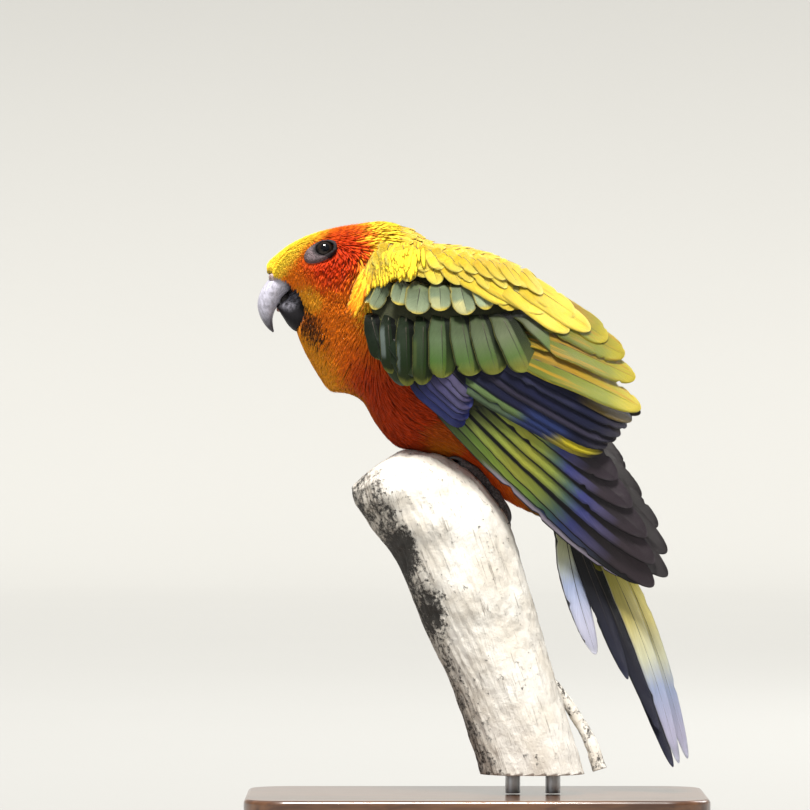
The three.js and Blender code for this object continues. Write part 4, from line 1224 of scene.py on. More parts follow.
def tuft_faces(rows):
    """Faces of one small feather: rows of left, ridge and right points, then a point for its tip."""
    quads, triangles = [], [(0, 1, 2)]
    for k in range(rows - 1):
        a, b = 3 * k, 3 * k + 3
        quads += [(a, b, b + 1, a + 1), (a + 1, b + 1, b + 2, a + 2), (a, a + 2, b + 2, b)]
    a, tip = 3 * rows - 3, 3 * rows
    triangles += [(a, tip, a + 1), (a + 1, tip, a + 2), (a, a + 2, tip)]
    return np.array(quads), np.array(triangles)


def spread_roots(draw, density, first, last, keep):
    """Roots over the body, so many for a square millimetre as density says of each place that keep allows."""
    rows, columns = ROOT_GRID
    u = np.linspace(first, last, rows + 1)
    angle = np.linspace(-math.pi, math.pi, columns + 1)
    grid = body_point(*np.meshgrid(u, angle, indexing="ij"), 0.0)
    down = grid[1:, :-1] - grid[:-1, :-1]
    over = grid[:-1, 1:] - grid[:-1, :-1]
    area = np.linalg.norm(np.cross(down, over), axis=-1)
    middle = (grid[1:, 1:] + grid[:-1, :-1]) / 2
    count = np.floor(area * density(middle) + draw.random(area.shape)).astype(int)
    cell_u, cell_angle = np.nonzero(count)
    times = count[cell_u, cell_angle]
    cell_u, cell_angle = np.repeat(cell_u, times), np.repeat(cell_angle, times)
    root_u = u[cell_u] + draw.random(len(cell_u)) * (u[1] - u[0])
    root_angle = angle[cell_angle] + draw.random(len(cell_angle)) * (angle[1] - angle[0])
    kept = keep(body_point(root_u, root_angle, 0.0))
    return root_u[kept], root_angle[kept]


def lay_tufts(name, draw, roots, steps, size, outline, depth, surface, home, curl=0.2):
    """Small feathers from these roots, each bent with the surface below it.

    steps is how far the two surface coordinates go for a millimetre of a feather's length, and home is each
    root's place on the chart of the skin."""
    p, q = roots
    count = len(p)
    stops = np.array([t for t, _ in outline] + [1.0])
    long, wide = size
    long = long * (0.8 + 0.4 * draw.random(count))
    swerve = (draw.random(count) - 0.5) * 0.22
    step_p, step_q = steps
    along_p = p[:, None] + (step_p * long)[:, None] * stops
    along_q = q[:, None] + (step_q * long)[:, None] * stops * (1 + swerve[:, None])
    stand = (0.9 + 0.2 * draw.random(count))[:, None]
    curled = curl * draw.random(count)[:, None] * stops**3
    lift = -0.25 + (stand * depth[:, None] + 0.2) * stops**0.85 + curled
    at, out = surface(along_p, along_q, lift - depth[:, None])
    lie = unit(np.gradient(at, axis=1))
    side = unit(np.cross(out, lie))
    side = unit(side + out * ((draw.random(count) - 0.5) * 0.25)[:, None, None])
    each = 3 * len(outline) + 1
    points = np.empty((count, each, 3))
    for k, (_, width) in enumerate(outline):
        half = side[:, k] * (wide * width / 2)[:, None]
        points[:, 3 * k] = at[:, k] - half
        points[:, 3 * k + 1] = at[:, k] + out[:, k] * (wide * width * 0.12 + 0.03)[:, None]
        points[:, 3 * k + 2] = at[:, k] + half
    points[:, -1] = at[:, -1]
    quads, triangles = tuft_faces(len(outline))
    first = (np.arange(count) * each)[:, None, None]
    quads, triangles = (quads + first).reshape(-1, 4), (triangles + first).reshape(-1, 3)
    made = mesh_object(name, points.reshape(-1, 3), quads, triangles)
    add_attribute(made, "root", np.repeat(at[:, 0] + out[:, 0], each, 0))
    add_attribute(made, "variety", np.repeat(draw.random(count) * 2 - 1, each))
    stop_of_point = np.append(np.repeat(stops[:-1], 3), 1.0)
    add_attribute(made, "along", np.tile(stop_of_point, count))
    patch = np.stack([np.append(np.tile([0.0, 0.5, 1.0], len(outline)), 0.5), stop_of_point], -1) * 0.003
    add_chart(made, "OFBake", (home[:, None] * 0.99 + patch[None]).reshape(-1, 2))
    return made


def lie_of_coat(points, along):
    """The way that the small feathers point: back from the bill, but down over the cheeks and the neck."""
    x, y, z = points[..., 0], points[..., 1], points[..., 2]
    share = rise(238, 222, z + 0.3 * (x + 60)) * rise(-34, -46, x) * rise(158, 184, z + 0.3 * (x + 60))
    share = (share * rise(3, 9, np.abs(y - BIRD_Y)))[..., None]
    down = np.array([-0.42, 0, -0.9])
    return unit(along * (1 - share) + down * 1.2 * share)


def coat_steps(u, angle):
    """Steps of the body's two coordinates for a millimetre along the lie of the coat."""
    over, around = body_slopes(u, angle)
    way = lie_of_coat(body_point(u, angle, 0.0, False), unit(over))
    a, b, c = (np.sum(p * q, -1) for p, q in ((over, over), (over, around), (around, around)))
    first, second = np.sum(way * over, -1), np.sum(way * around, -1)
    whole = a * c - b * b
    step_u, step_angle = (c * first - b * second) / whole, (a * second - b * first) / whole
    length = np.linalg.norm(over * step_u[:, None] + around * step_angle[:, None], axis=-1)
    return step_u / length, step_angle / length


class VaneSheet:
    """Flight feathers and coverts gathered into one mesh."""

    def __init__(self, draw, thickness, columns=8):
        self.draw = draw
        self.thickness = thickness
        self.columns = columns
        self.points, self.quads, self.vane_chart, self.bake, self.cells = [], [], [], [], []
        self.variety, self.under, self.along, self.rank, self.kinds = [], [], [], [], []
        self.total = 0
        self.vanes = 0

    def add(
        self, line, out, outward, width, point, rows, kind, rank, tilt=0.0, camber=0.5, root=0.55, ragged=1.0
    ):
        """One feather. line and out give its middle and its upper side at each of rows + 1 shares.

        outward is the way its outer web points, point is where it begins to round off, root is the share of
        its width that it starts with, and ragged is how worn its edges are."""
        columns = self.columns
        stops = np.sin(np.linspace(0, math.pi / 2, rows + 1))
        at, face = line(stops), unit(out(stops))
        ahead = unit(line(np.minimum(1, stops + 0.02)) - line(np.maximum(0, stops - 0.02)))
        face = unit(face - ahead * np.sum(face * ahead, -1, keepdims=True))
        over = np.cross(face, ahead)
        over *= np.sign(np.sum(over * outward, -1, keepdims=True))
        past = (stops - point) / (1 - point)
        rounding = np.where(stops <= point, 1, np.sqrt(np.maximum(0, 1 - past**2)))
        half = width / 2 * np.maximum(0.02, rounding) * (root + (1 - root) * np.minimum(1, stops / 0.35))
        c = np.linspace(-1, 1, columns + 1)
        notch = 1 - ragged * WORN_EDGE * self.draw.random((rows + 1, 2))
        slits = self.draw.random((rows + 1, 2)) < SLIT_SHARE * ragged
        notch -= slits * SLIT_DEPTH
        reach = np.where(c[None] < 0, notch[:, :1], notch[:, 1:]) ** (np.abs(c[None]) ** 4)
        edge = half[:, None] * c[None] * reach
        wave = 0.12 * np.sin(9 * stops + 6 * self.draw.random())[:, None] * np.abs(c)[None] ** 2
        height = (tilt * 2 / width) * edge - camber * (edge / (width / 2)) ** 2 + wave
        middle = at[:, None] + over[:, None] * edge[..., None] + face[:, None] * height[..., None]
        h = self.thickness / 2 * (1 - 0.45 * stops)[:, None] * (1.15 - 0.6 * np.abs(c))[None]
        top = middle + face[:, None] * h[..., None]
        low = middle - face[:, None] * h[..., None]
        wide = columns + 1
        count = (rows + 1) * wide
        index = np.arange(count).reshape(rows + 1, wide)
        a, b, d, e = index[:-1, :-1], index[:-1, 1:], index[1:, 1:], index[1:, :-1]
        upper = np.stack([a, b, d, e], -1).reshape(-1, 4)
        reversed_top = np.dot(np.cross(over[1], ahead[1]), face[1]) < 0
        if reversed_top:
            upper = upper[:, ::-1]
        lower = upper[:, ::-1] + count
        rim = np.concatenate([index[0, :-1], index[:-1, -1], index[-1, :0:-1], index[:0:-1, 0]])
        after = np.roll(rim, -1)
        sides = np.stack([rim, after, after + count, rim + count], -1)
        if not reversed_top:
            sides = sides[:, ::-1]
        chart = np.stack(np.broadcast_arrays((c[None] + 1) / 2, stops[:, None]), -1).reshape(-1, 2)
        on_top, below = (chart * np.array([0.42, 0.92]) + np.array([left, 0.04]) for left in (0.04, 0.54))
        both = np.concatenate([on_top, below])
        self.bake += [both[upper], both[lower], on_top[sides % count]]
        points = np.concatenate([top.reshape(-1, 3), low.reshape(-1, 3)])
        self.gather(points, [upper, lower, sides], kind, rank)
        self.vane_chart.append(np.concatenate([chart, chart]))
        self.under.append(np.repeat([0.0, 1.0], count))
        self.along.append(np.tile(np.repeat(stops, wide), 2))
        ridge = at + face * (self.thickness / 2 * (1 - 0.45 * stops))[:, None]
        self.add_shaft(ridge, over, face, stops, rank, width)
        self.vanes += 1

    def add_shaft(self, at, over, face, stops, rank, width):
        """The raised shaft along the middle of a feather."""
        kept = np.unique(np.linspace(0, int(len(stops) * 0.96) - 1, 12).astype(int))
        thick = (0.055 + 0.02 * width) * (1.05 - stops[kept])[:, None]
        at, over, face = at[kept], over[kept], face[kept]
        corners = [-over, face * 0.8, over, face * -0.4]
        ring = np.stack([at + corner * thick for corner in corners], 1)
        n = len(kept)
        index = np.arange(n * 4).reshape(n, 4)
        quads = []
        for j in range(4):
            k = (j + 1) % 4
            quads.append(np.stack([index[:-1, j], index[1:, j], index[1:, k], index[:-1, k]], -1))
        quads = np.concatenate(quads + [index[0][None], index[-1][None, ::-1]])
        if np.dot(np.cross(at[-1] - at[0], over[0]), face[0]) < 0:
            quads = quads[:, ::-1]
        flat = np.stack([np.full(n * 4, 0.5), np.repeat(stops[kept], 4)], -1)
        self.bake.append((flat * np.array([0.0, 0.9]) + np.array([0.5, 0.05]))[quads])
        self.gather(ring.reshape(-1, 3), [quads], -1, rank)
        self.vane_chart.append(flat)
        self.under.append(np.zeros(n * 4))
        self.along.append(np.repeat(stops[kept], 4))

    def gather(self, points, faces, kind, rank):
        """Adds points and faces of a kind of finish to the sheet. A kind below zero is a shaft."""
        faces = np.concatenate(faces)
        self.quads.append(faces + self.total)
        self.kinds.append(np.full(len(faces), kind))
        self.cells.append(np.full(len(faces), self.vanes))
        self.points.append(points)
        if kind >= 0:
            self.shade = self.draw.random() * 2 - 1
        self.variety.append(np.full(len(points), self.shade))
        self.rank.append(np.full(len(points), rank))
        self.total += len(points)

    def build(self, name, finishes, slot, nodes=(), turn=None, mirrored=False):
        """Makes the piece. The last of the finishes is for the shafts."""
        points = np.concatenate(self.points)
        quads = np.concatenate(self.quads)
        if turn is not None:
            points = turn(points)
        bake = np.concatenate(self.bake)
        if mirrored:
            quads = quads[:, ::-1]
            bake = bake[:, ::-1]
        made = mesh_object(name, points, quads)
        kinds = np.concatenate(self.kinds)
        kinds[kinds < 0] = len(finishes) - 1
        add_chart(made, "Vane", np.concatenate(self.vane_chart))
        for field in ("variety", "under", "along", "rank"):
            add_attribute(made, field, np.concatenate(getattr(self, field)))
        across = math.ceil(math.sqrt(self.vanes))
        cell = np.concatenate(self.cells)
        corner = np.stack([cell % across, cell // across], -1)[:, None]
        chart = made.data.uv_layers.new(name="OFBake")
        chart.data.foreach_set("uv", ((bake + corner) / across).astype(np.float32).ravel())
        use(made, finishes, slot, *nodes)
        made.data.polygons.foreach_set("material_index", kinds.astype(np.int32))
        return made


def between(ends, share):
    return np.array(ends[0]) + share * (np.array(ends[1]) - np.array(ends[0]))


def tier_line(tier, i):
    """The root and the tip of one feather of a tier, in the side view."""
    share = i / (tier["count"] - 1)
    root = between(tier["root"], share)
    if "lengths" in tier:
        angle = math.radians(tier["angles"][i])
        return root, root + tier["lengths"][i] * np.array([math.cos(angle), math.sin(angle)])
    if "tips" in tier:
        return root, np.array(tier["tips"][i])
    bow = tier["bow"] * 4 * share * (1 - share)
    return root, between(tier["tip"], share) + bow * np.array([-math.sin(WING_SLOPE), math.cos(WING_SLOPE)])


def add_tier(sheet, tier, kind, far):
    """Lays one tier of feathers on the left wing's surface. far says that it is for the far wing."""
    outward = np.array([math.sin(WING_SLOPE), 0, -math.cos(WING_SLOPE)])
    loose = tier.get("loose", 0.0 if "lengths" in tier else 1.0)
    skew = tier.get("skew", 0.0) * outward
    for i in range(tier["count"]):
        root, tip = tier_line(tier, i)
        tip = tip + loose * (sheet.draw.random(2) - 0.5) * 1.3
        if far:
            drop = np.array([0, -tier.get("drop", 0.0)])
            root, tip = root + drop, root + drop + tier.get("far", 1.0) * (tip - root)

        def place(t, root=root, tip=tip):
            flat = root + t[:, None] * (tip - root)
            rooted = np.maximum(0, 1 - t / 0.3) ** 2
            at, out = wing_surface(flat[:, 0], flat[:, 1], tier["lift"] * (1 - rooted) - ROOT_SINK * rooted)
            return at - skew * np.minimum(1, 2.5 * t)[:, None], out

        width = np.broadcast_to(tier["width"], tier["count"])[i] * (0.95 + 0.1 * sheet.draw.random())
        sheet.add(
            lambda t: place(t)[0], lambda t: place(t)[1], outward, width, tier["point"], tier["rows"], kind,
            i / (tier["count"] - 1), tier["tilt"],
        )


def eye_space(side):
    """The middle of an eye and the axes of its surroundings: level, up and outwards."""
    facing = unit(np.array([EYE_FACING[0], EYE_FACING[1] * side, EYE_FACING[2]]))
    level = unit(np.array([1.0, 0, 0]) - facing * facing[0])
    up = np.cross(facing, level)
    return np.array([EYE_AT[0], BIRD_Y + EYE_AT[1] * side, EYE_AT[2]]), level, up, facing


def eye_patch_share(points, grow=0.0):
    """How far out from the middle of the nearer bare eye patch places are: 1 at its edge."""
    nearest = np.full(points.shape[:-1], 9.0)
    for side in SIDES.values():
        middle, level, up, facing = eye_space(side)
        middle = middle + np.array([PATCH_SHIFT[0], 0, PATCH_SHIFT[1]])
        away = points - middle
        turn = PATCH_TURN * -side
        a, b = away @ level, away @ up
        first = (a * math.cos(turn) + b * math.sin(turn)) / (PATCH_SIZE[0] + grow)
        across = (-a * math.sin(turn) + b * math.cos(turn)) * -side
        second = across / ((PATCH_SIZE[1] + grow) * np.where(across > 0, PATCH_BROW, 1.0))
        share = np.hypot(first, second)
        nearest = np.where(away @ facing > -6, np.minimum(nearest, share), nearest)
    return nearest


def out_of_bill(points):
    """Whether places lie outside the bill's hollow."""
    (x, z), radius = BILL_HOLLOW
    return np.hypot(points[..., 0] - x, points[..., 2] - z) > radius + 0.3


def coat_depth(points):
    """Depth of the coat over the skin: thin on the face, deeper on the body."""
    depth = settings()[0].coat_depth / MM
    return depth * (0.45 + 1.1 * rise(-82, -30, points[..., 0]))


class CONURE_OT_skin(bpy.types.Operator):
    """Make the bird's skin, which the small feathers cover"""

    bl_idname = "conure.make_skin"
    bl_label = "Skin"

    def execute(self, context):
        def surface(u, angle):
            outside = body_point(u, angle, 0.0)
            return body_point(u, angle, -coat_depth(outside))

        ends = (end_middle(surface, 0.0), (0.6, 0, 0)), (end_middle(surface, 1.0), (0.6, 0, -1.5))
        skin = capped_form("skin", 176, 260, 0.02, surface, ends)
        use(skin, skin_finish(), "body_plumage", "head", "neck", "torso")
        return {"FINISHED"}


class CONURE_OT_coat(bpy.types.Operator):
    """Cover the head, neck and body with small feathers"""

    bl_idname = "conure.make_coat"
    bl_label = "Small feathers"

    def execute(self, context):
        plumage = settings()[0]
        draw = np.random.default_rng(plumage.seed)
        finish = coat_finish()
        face, body = plumage.face_tuft / MM, plumage.body_tuft / MM

        def size(points):
            grown = rise(-84, -28, points[..., 0])
            low = rise(206, 180, points[..., 2]) * rise(-84, -66, points[..., 0])
            long = face + (body - face) * np.clip(grown + 0.3 * low, 0, 1)
            nape = rise(-58, -46, points[..., 0]) * rise(202, 214, points[..., 2])
            return long, 0.3 + 0.055 * long + 0.45 * nape

        def density(points):
            long, wide = size(points)
            covered = (points[..., 0] > -34) & (under_wing(points) > 3)
            return np.where(covered, 0.12, 1.0) * 6.6 / (long * wide * 0.7)

        def keep(points):
            return out_of_bill(points) & (eye_patch_share(points, -0.4) > 1)

        for name, (first, last) in COAT_PARTS.items():
            u, angle = spread_roots(draw, density, first, last, keep)
            for side, chosen in (("left", angle < 0), ("right", angle >= 0)):
                roots = u[chosen], angle[chosen]
                at = body_point(*roots, 0.0)
                home = np.stack([(roots[1] / (2 * math.pi)) % 1.0, roots[0]], -1)
                curl = 0.55 if name.startswith("head") else 0.25
                tufts = lay_tufts(
                    f"coat_{name}_{side}", draw, roots, coat_steps(*roots), size(at), LANCE, coat_depth(at),
                    body_surface, home, curl,
                )
                use(tufts, finish, "body_plumage")
        for side in SIDES:
            self.shoulder(side, draw, finish)
        return {"FINISHED"}

    def shoulder(self, side, draw, finish):
        """Loose feathers that hide the front and upper edge of a wing."""
        count = SHOULDER_TUFTS
        share = draw.random(count) ** 1.3
        x, z = smooth_line(SHOULDER_EDGE, share).T
        x = x + (draw.random(count) - 0.5) * 9 * share**2
        z = z + draw.random(count) * 6.0
        turn = np.radians(-118 + 24 * share + 26 * (draw.random(count) - 0.5))
        long = 7.0 + 3.0 * draw.random(count)
        depth = np.full(count, 0.2)

        def surface(p, q, lift):
            sunk = 0.5 * np.maximum(0, q - SHOULDER_EDGE[-1][1])
            at, out = wing_surface(p, q, SHOULDER_LIFT + lift - sunk)
            return on_side(side, at), out * np.array([1, -SIDES[side], 1])

        home = np.stack([(x + 60) / 140, (z - 180) / 60], -1) * 0.9
        steps = np.cos(turn), np.sin(turn)
        size = long, 0.5 + 0.18 * long
        tufts = lay_tufts(
            f"coat_shoulder_{side}", draw, (x, z), steps, size, PETAL, depth, surface, home, 0.3
        )
        use(tufts, finish, "body_plumage")


def under_wing(points):
    """How far in millimetres a place lies inside the outline of the folded wings, in the side view."""
    along, across = wing_axes(points[..., 0], points[..., 2])
    front = np.minimum(along + 4, 90 - along)
    return np.minimum(front, np.minimum(across + 6, 26 - across + 0.25 * np.maximum(0, along)))


class CONURE_OT_mantle(bpy.types.Operator):
    """Lay the rounded feathers of the nape and back in rows"""

    bl_idname = "conure.make_mantle"
    bl_label = "Mantle"

    def execute(self, context):
        plumage = settings()[0]
        draw = np.random.default_rng(plumage.seed + 1)
        long = plumage.mantle_feather / MM
        sheet = VaneSheet(draw, MANTLE_THICKNESS, 6)
        for row, u in enumerate(MANTLE_ROWS):
            reach = 1.15 - 0.35 * rise(0.6, 0.86, u)
            for k in range(MANTLE_COUNT):
                share = (k + 0.5 * (row % 2)) / (MANTLE_COUNT - 0.5)
                angle = reach * (2 * share - 1) + (draw.random() - 0.5) * 0.05
                self.lay(sheet, draw, u + (draw.random() - 0.5) * 0.008, angle, long, row)
        sheet.build("mantle", [mantle_finish(), shaft_finish()], "body_plumage")
        return {"FINISHED"}

    def lay(self, sheet, draw, u, angle, long, row):
        long = long * (0.85 + 0.3 * draw.random()) * (0.62 + 0.38 * rise(0.44, 0.6, u))
        pace = np.linalg.norm(body_slopes(u, angle)[0])
        swerve = (draw.random() - 0.5) * 0.1

        def frame(t):
            return body_surface(u + long * t / pace, angle + swerve * t, -0.6 + 1.5 * t**0.8)

        outward = body_slopes(u, angle)[1]
        rank = row / (len(MANTLE_ROWS) - 1)
        tilt = (draw.random() - 0.5) * 0.8
        sheet.add(
            lambda t: frame(t)[0], lambda t: frame(t)[1], outward, long * 0.72, point=0.55, rows=9, kind=0,
            rank=rank, tilt=tilt, camber=0.7, root=0.4, ragged=1.6,
        )


class CONURE_OT_wings(bpy.types.Operator):
    """Lay the folded wings, tier by tier, over their flesh"""

    bl_idname = "conure.make_wings"
    bl_label = "Wings"

    def execute(self, context):
        plumage = settings()[0]
        finishes = wing_finishes()
        ground = flesh_finish()
        for k, side in enumerate(SIDES):
            draw = np.random.default_rng(plumage.seed + 11 + k)
            sheet = VaneSheet(draw, plumage.vane_thickness / MM)
            mirrored = side == "right"
            for kind, tier in enumerate(TIERS.values()):
                add_tier(sheet, tier, min(kind, len(finishes) - 2), mirrored)
            turn = functools.partial(on_side, side)
            sheet.build(f"wing_feathers_{side}", finishes, "wing_plumage", [f"wing_{side}"], turn, mirrored)
            self.flesh(side, turn, ground)
        return {"FINISHED"}

    def flesh(self, side, turn, ground):
        """The feathered flesh that the tiers root in."""

        def place(share, angle):
            a, b = smooth_line(FLESH_LOWER, share), smooth_line(FLESH_UPPER, share)
            over = 0.5 - 0.5 * np.cos(angle)
            flat = a + (b - a) * over[:, None]
            closing = np.sin(math.pi * share) ** 0.35
            lift = -2.0 + 3.0 * np.sin(angle) * closing
            return turn(wing_surface(flat[:, 0], flat[:, 1], lift)[0])

        use(round_form(f"wing_flesh_{side}", 40, 48, place), ground, "wing_plumage")


class CONURE_OT_tail(bpy.types.Operator):
    """Make the tail feathers and the coverts over and under their roots"""

    bl_idname = "conure.make_tail"
    bl_label = "Tail"

    def execute(self, context):
        plumage = settings()[0]
        draw = np.random.default_rng(plumage.seed + 21)
        sheet = VaneSheet(draw, plumage.vane_thickness / MM)
        for side in SIDES.values():
            for j, kind in enumerate(TAIL_KINDS):
                self.feather(sheet, j, side, kind, 1.0, 0.0, 40)
            for j in range(4):
                self.feather(sheet, j, side, 3, 0.27 - 0.02 * j, 1.5, 16)
            for j in range(4):
                self.feather(sheet, j, side, 4, 0.24 + 0.04 * j, -2.6 - 0.5 * j, 16)
        sheet.build("tail_feathers", tail_finishes(), "tail_plumage", ["tail"])
        core = [
            (41.0, 131.0, 29.6, 124.0, 7.4, 0), (43.4, 122.0, 30.6, 116.0, 7.6, 0),
            (45.6, 112.0, 34.6, 106.4, 6.2, 0), (47.4, 101.0, 40.6, 98.4, 2.6, 0),
        ]
        ends = ((35.3, BIRD_Y, 127.5), (0, 0, 1)), ((44.0, BIRD_Y, 99.7), (0.3, 0, -1))

        def surface(u, angle):
            return rail_point(core, u, angle, BIRD_Y, -0.4)

        use(capped_form("tail_root", 40, 30, 0.06, surface, ends), skin_finish(), "tail_plumage")
        return {"FINISHED"}

    def feather(self, sheet, j, side, kind, share, lift, rows):
        angle = math.radians(TAIL["angles"][j])
        roll = math.radians(TAIL["roll"][j])
        full = TAIL["lengths"][j]
        size = full * share
        above = np.array([math.sin(angle), 0, math.cos(angle)])
        aside = np.array([0, side, 0])
        start = np.array([TAIL_ROOT[0], BIRD_Y, TAIL_ROOT[1]]) + above * (4.5 - TAIL["step"] * j + lift)
        start = start + aside * (2.2 + TAIL["step"] * j)
        if j == 0 and kind < 3:
            start = start + np.array(TAIL_MIDDLE_SHIFT)
            if side > 0:
                # The far one of the middle pair lies turned towards the near side, above its twin.
                start = start + above * TAIL_TWIN_RISE
                roll = -roll
        reach = aside * (TAIL["reach"][j] - 1.3 - TAIL["step"] * j)
        end = start + np.array([full * math.cos(angle), 0, -full * math.sin(angle)]) + reach
        out = above * math.cos(roll) + aside * math.sin(roll)

        def line(t):
            t = np.asarray(t)[:, None] * share
            return start + (end - start) * t + above * (TAIL["bulge"][j] * np.sin(math.pi * t))

        covert = kind >= 3
        width = TAIL["width"][j] * (0.8 if covert else 1)
        sheet.add(
            line, lambda t: np.repeat(out[None], len(t), 0), aside, width, 0.6 if covert else 0.35, rows,
            kind, j / 4, 0.0, 0.8,
        )


class CONURE_OT_bill(bpy.types.Operator):
    """Make the bill, its cere and nostrils, and the tongue"""

    bl_idname = "conure.make_bill"
    bl_label = "Bill"

    def execute(self, context):
        bare = settings()[1]
        self.half("upper_bill_horn", UPPER_BILL, horn_finish("Bill horn"), "upper_bill")
        self.half("lower_bill_horn", LOWER_BILL, horn_finish("Lower bill horn", True), "lower_bill")
        mouth = bare_skin_finish("Mouth skin", bare.mouth, (0.12, 0.05, 0.05), 1.4)
        use(self.lump("tongue_tip", TONGUE, 0), mouth, "tongue_flesh", "tongue")
        cere_skin = bare_skin_finish("Cere skin", (0.5, 0.38, 0.36), (0.2, 0.13, 0.13), 1.8)
        # Near black beads are painted shade in the nostrils and at the mouth's corner.
        hole_shade = hole_shade_finish()
        for side, sign in SIDES.items():
            use(self.lump(f"cere_{side}", CERE, sign), cere_skin, "bill_horn")
            use(self.lump(f"nostril_{side}", NOSTRIL, sign), hole_shade, "bill_horn")
        use(self.lump("gape_shade", GAPE, 0), hole_shade, "bill_horn")
        return {"FINISHED"}

    def half(self, name, stations, horn, node):
        """The upper or the lower half, with faint growth ridges."""

        def surface(u, angle):
            p = rail_point(stations, u, angle, BIRD_Y, 0.0, BILL_SQUARENESS)
            growth = np.sin(u * 62 + 2 * np.cos(angle)) * 0.035
            p[:, 1] += np.sign(p[:, 1] - BIRD_Y) * growth
            return p

        first, last = stations[0], stations[-1]
        ends = []
        for station, other in ((first, stations[1]), (last, stations[-2])):
            middle = np.array([(station[0] + station[2]) / 2, BIRD_Y, (station[1] + station[3]) / 2])
            inner = np.array([(other[0] + other[2]) / 2, BIRD_Y, (other[1] + other[3]) / 2])
            ends.append((middle, unit(middle - inner) * 0.45))
        use(capped_form(name, 56, 72, 0.05, surface, ends), horn, "bill_horn", node)

    def lump(self, name, shape, sign):
        """A small round piece of the face, on the side that sign gives, or in the middle for 0."""
        at, size, turn = shape
        return bead(name, (at[0], BIRD_Y + at[1] * sign, at[2]), size, turn)


class CONURE_OT_eyes(bpy.types.Operator):
    """Make the eyes and the bare, creased skin round them"""

    bl_idname = "conure.make_eyes"
    bl_label = "Eyes"

    def execute(self, context):
        bare = settings()[1]
        wet = eye_finish()
        skin = bare_skin_finish("Eye ring skin", bare.ring, (0.014, 0.01, 0.012), 2.4, True)
        for side, sign in SIDES.items():
            middle, level, up, facing = eye_space(sign)

            def ball(share, angle):
                around = np.sin(share * math.pi)[:, None] * (
                    np.cos(angle)[:, None] * level + np.sin(angle)[:, None] * up * sign
                )
                return middle + EYE_RADIUS * (around + np.cos(share * math.pi)[:, None] * facing)

            eye = round_form(f"eyeball_{side}", 48, 40, ball)
            away = points_of(eye) - middle
            gaze = unit(EYE_RADIUS * facing + EYE_LOOK[0] * level - EYE_LOOK[1] * sign * up)
            ahead = away @ gaze
            off_axis = np.where(ahead > 0, np.linalg.norm(away - ahead[:, None] * gaze, axis=-1), 9.0)
            add_attribute(eye, "ring", off_axis)
            use(eye, wet, "eye_gloss", f"eye_{side}")
            self.patch(f"eye_ring_{side}", sign, skin)
        return {"FINISHED"}

    def patch(self, name, sign, skin):
        """The bare skin, from the lid's rim on the eye out under the feathers."""
        middle, level, up, facing = eye_space(sign)
        rings, sides = 22, 84
        s = np.linspace(0, PATCH_REACH, rings + 1)[:, None]
        angle = np.linspace(0, 2 * math.pi, sides, endpoint=False)[None]
        turn = PATCH_TURN * -sign
        shift = np.array([PATCH_SHIFT[0], 0, PATCH_SHIFT[1]])
        shift = np.array([shift @ level, shift @ up])
        a, b = PATCH_SIZE[0] * np.cos(angle), PATCH_SIZE[1] * np.sin(angle)
        b = b * np.where(b * -sign > 0, PATCH_BROW, 1.0)
        outer_x = shift[0] + a * math.cos(turn) - b * math.sin(turn)
        outer_y = shift[1] + a * math.sin(turn) + b * math.cos(turn)
        inner_x = EYE_LOOK[0] + EYE_OPENING[0] * np.cos(angle)
        inner_y = EYE_OPENING[1] * np.sin(angle) - EYE_LOOK[1] * sign
        x = inner_x * (1 - s) + outer_x * s
        y = inner_y * (1 - s) + outer_y * s
        far = np.hypot(x, y)
        dome = PATCH_OUT + PATCH_SIZE[2] * np.sqrt(np.maximum(0, 1 - s**2))
        rim = np.exp(-(((s - 0.1) / 0.08) ** 2)) * LID_RISE - np.exp(-((s / 0.03) ** 2)) * LID_DEPTH
        creases = 0.06 * np.sin(38 * s + 2 * np.sin(3 * angle)) * np.sin(math.pi * np.clip(s, 0, 1))
        ball = np.sqrt(np.maximum(0, EYE_RADIUS**2 - far**2))
        height = np.maximum(dome, ball + 0.1) + rim + creases
        height = height - 2.2 * np.maximum(0, s - 1) / 0.12
        p = middle + x[..., None] * level + y[..., None] * up + height[..., None] * facing
        index = np.arange((rings + 1) * sides).reshape(rings + 1, sides)
        nxt = np.roll(index, -1, 1)
        quads = np.stack([index[:-1], index[1:], nxt[1:], nxt[:-1]], -1).reshape(-1, 4)
        made = mesh_object(name, p.reshape(-1, 3), quads)
        add_attribute(made, "lid", np.repeat(s, sides, 1).ravel())
        apply_modifier(made, "SOLIDIFY", thickness=PATCH_THICKNESS * MM, offset=-1.0)
        use(made, skin, "body_plumage")


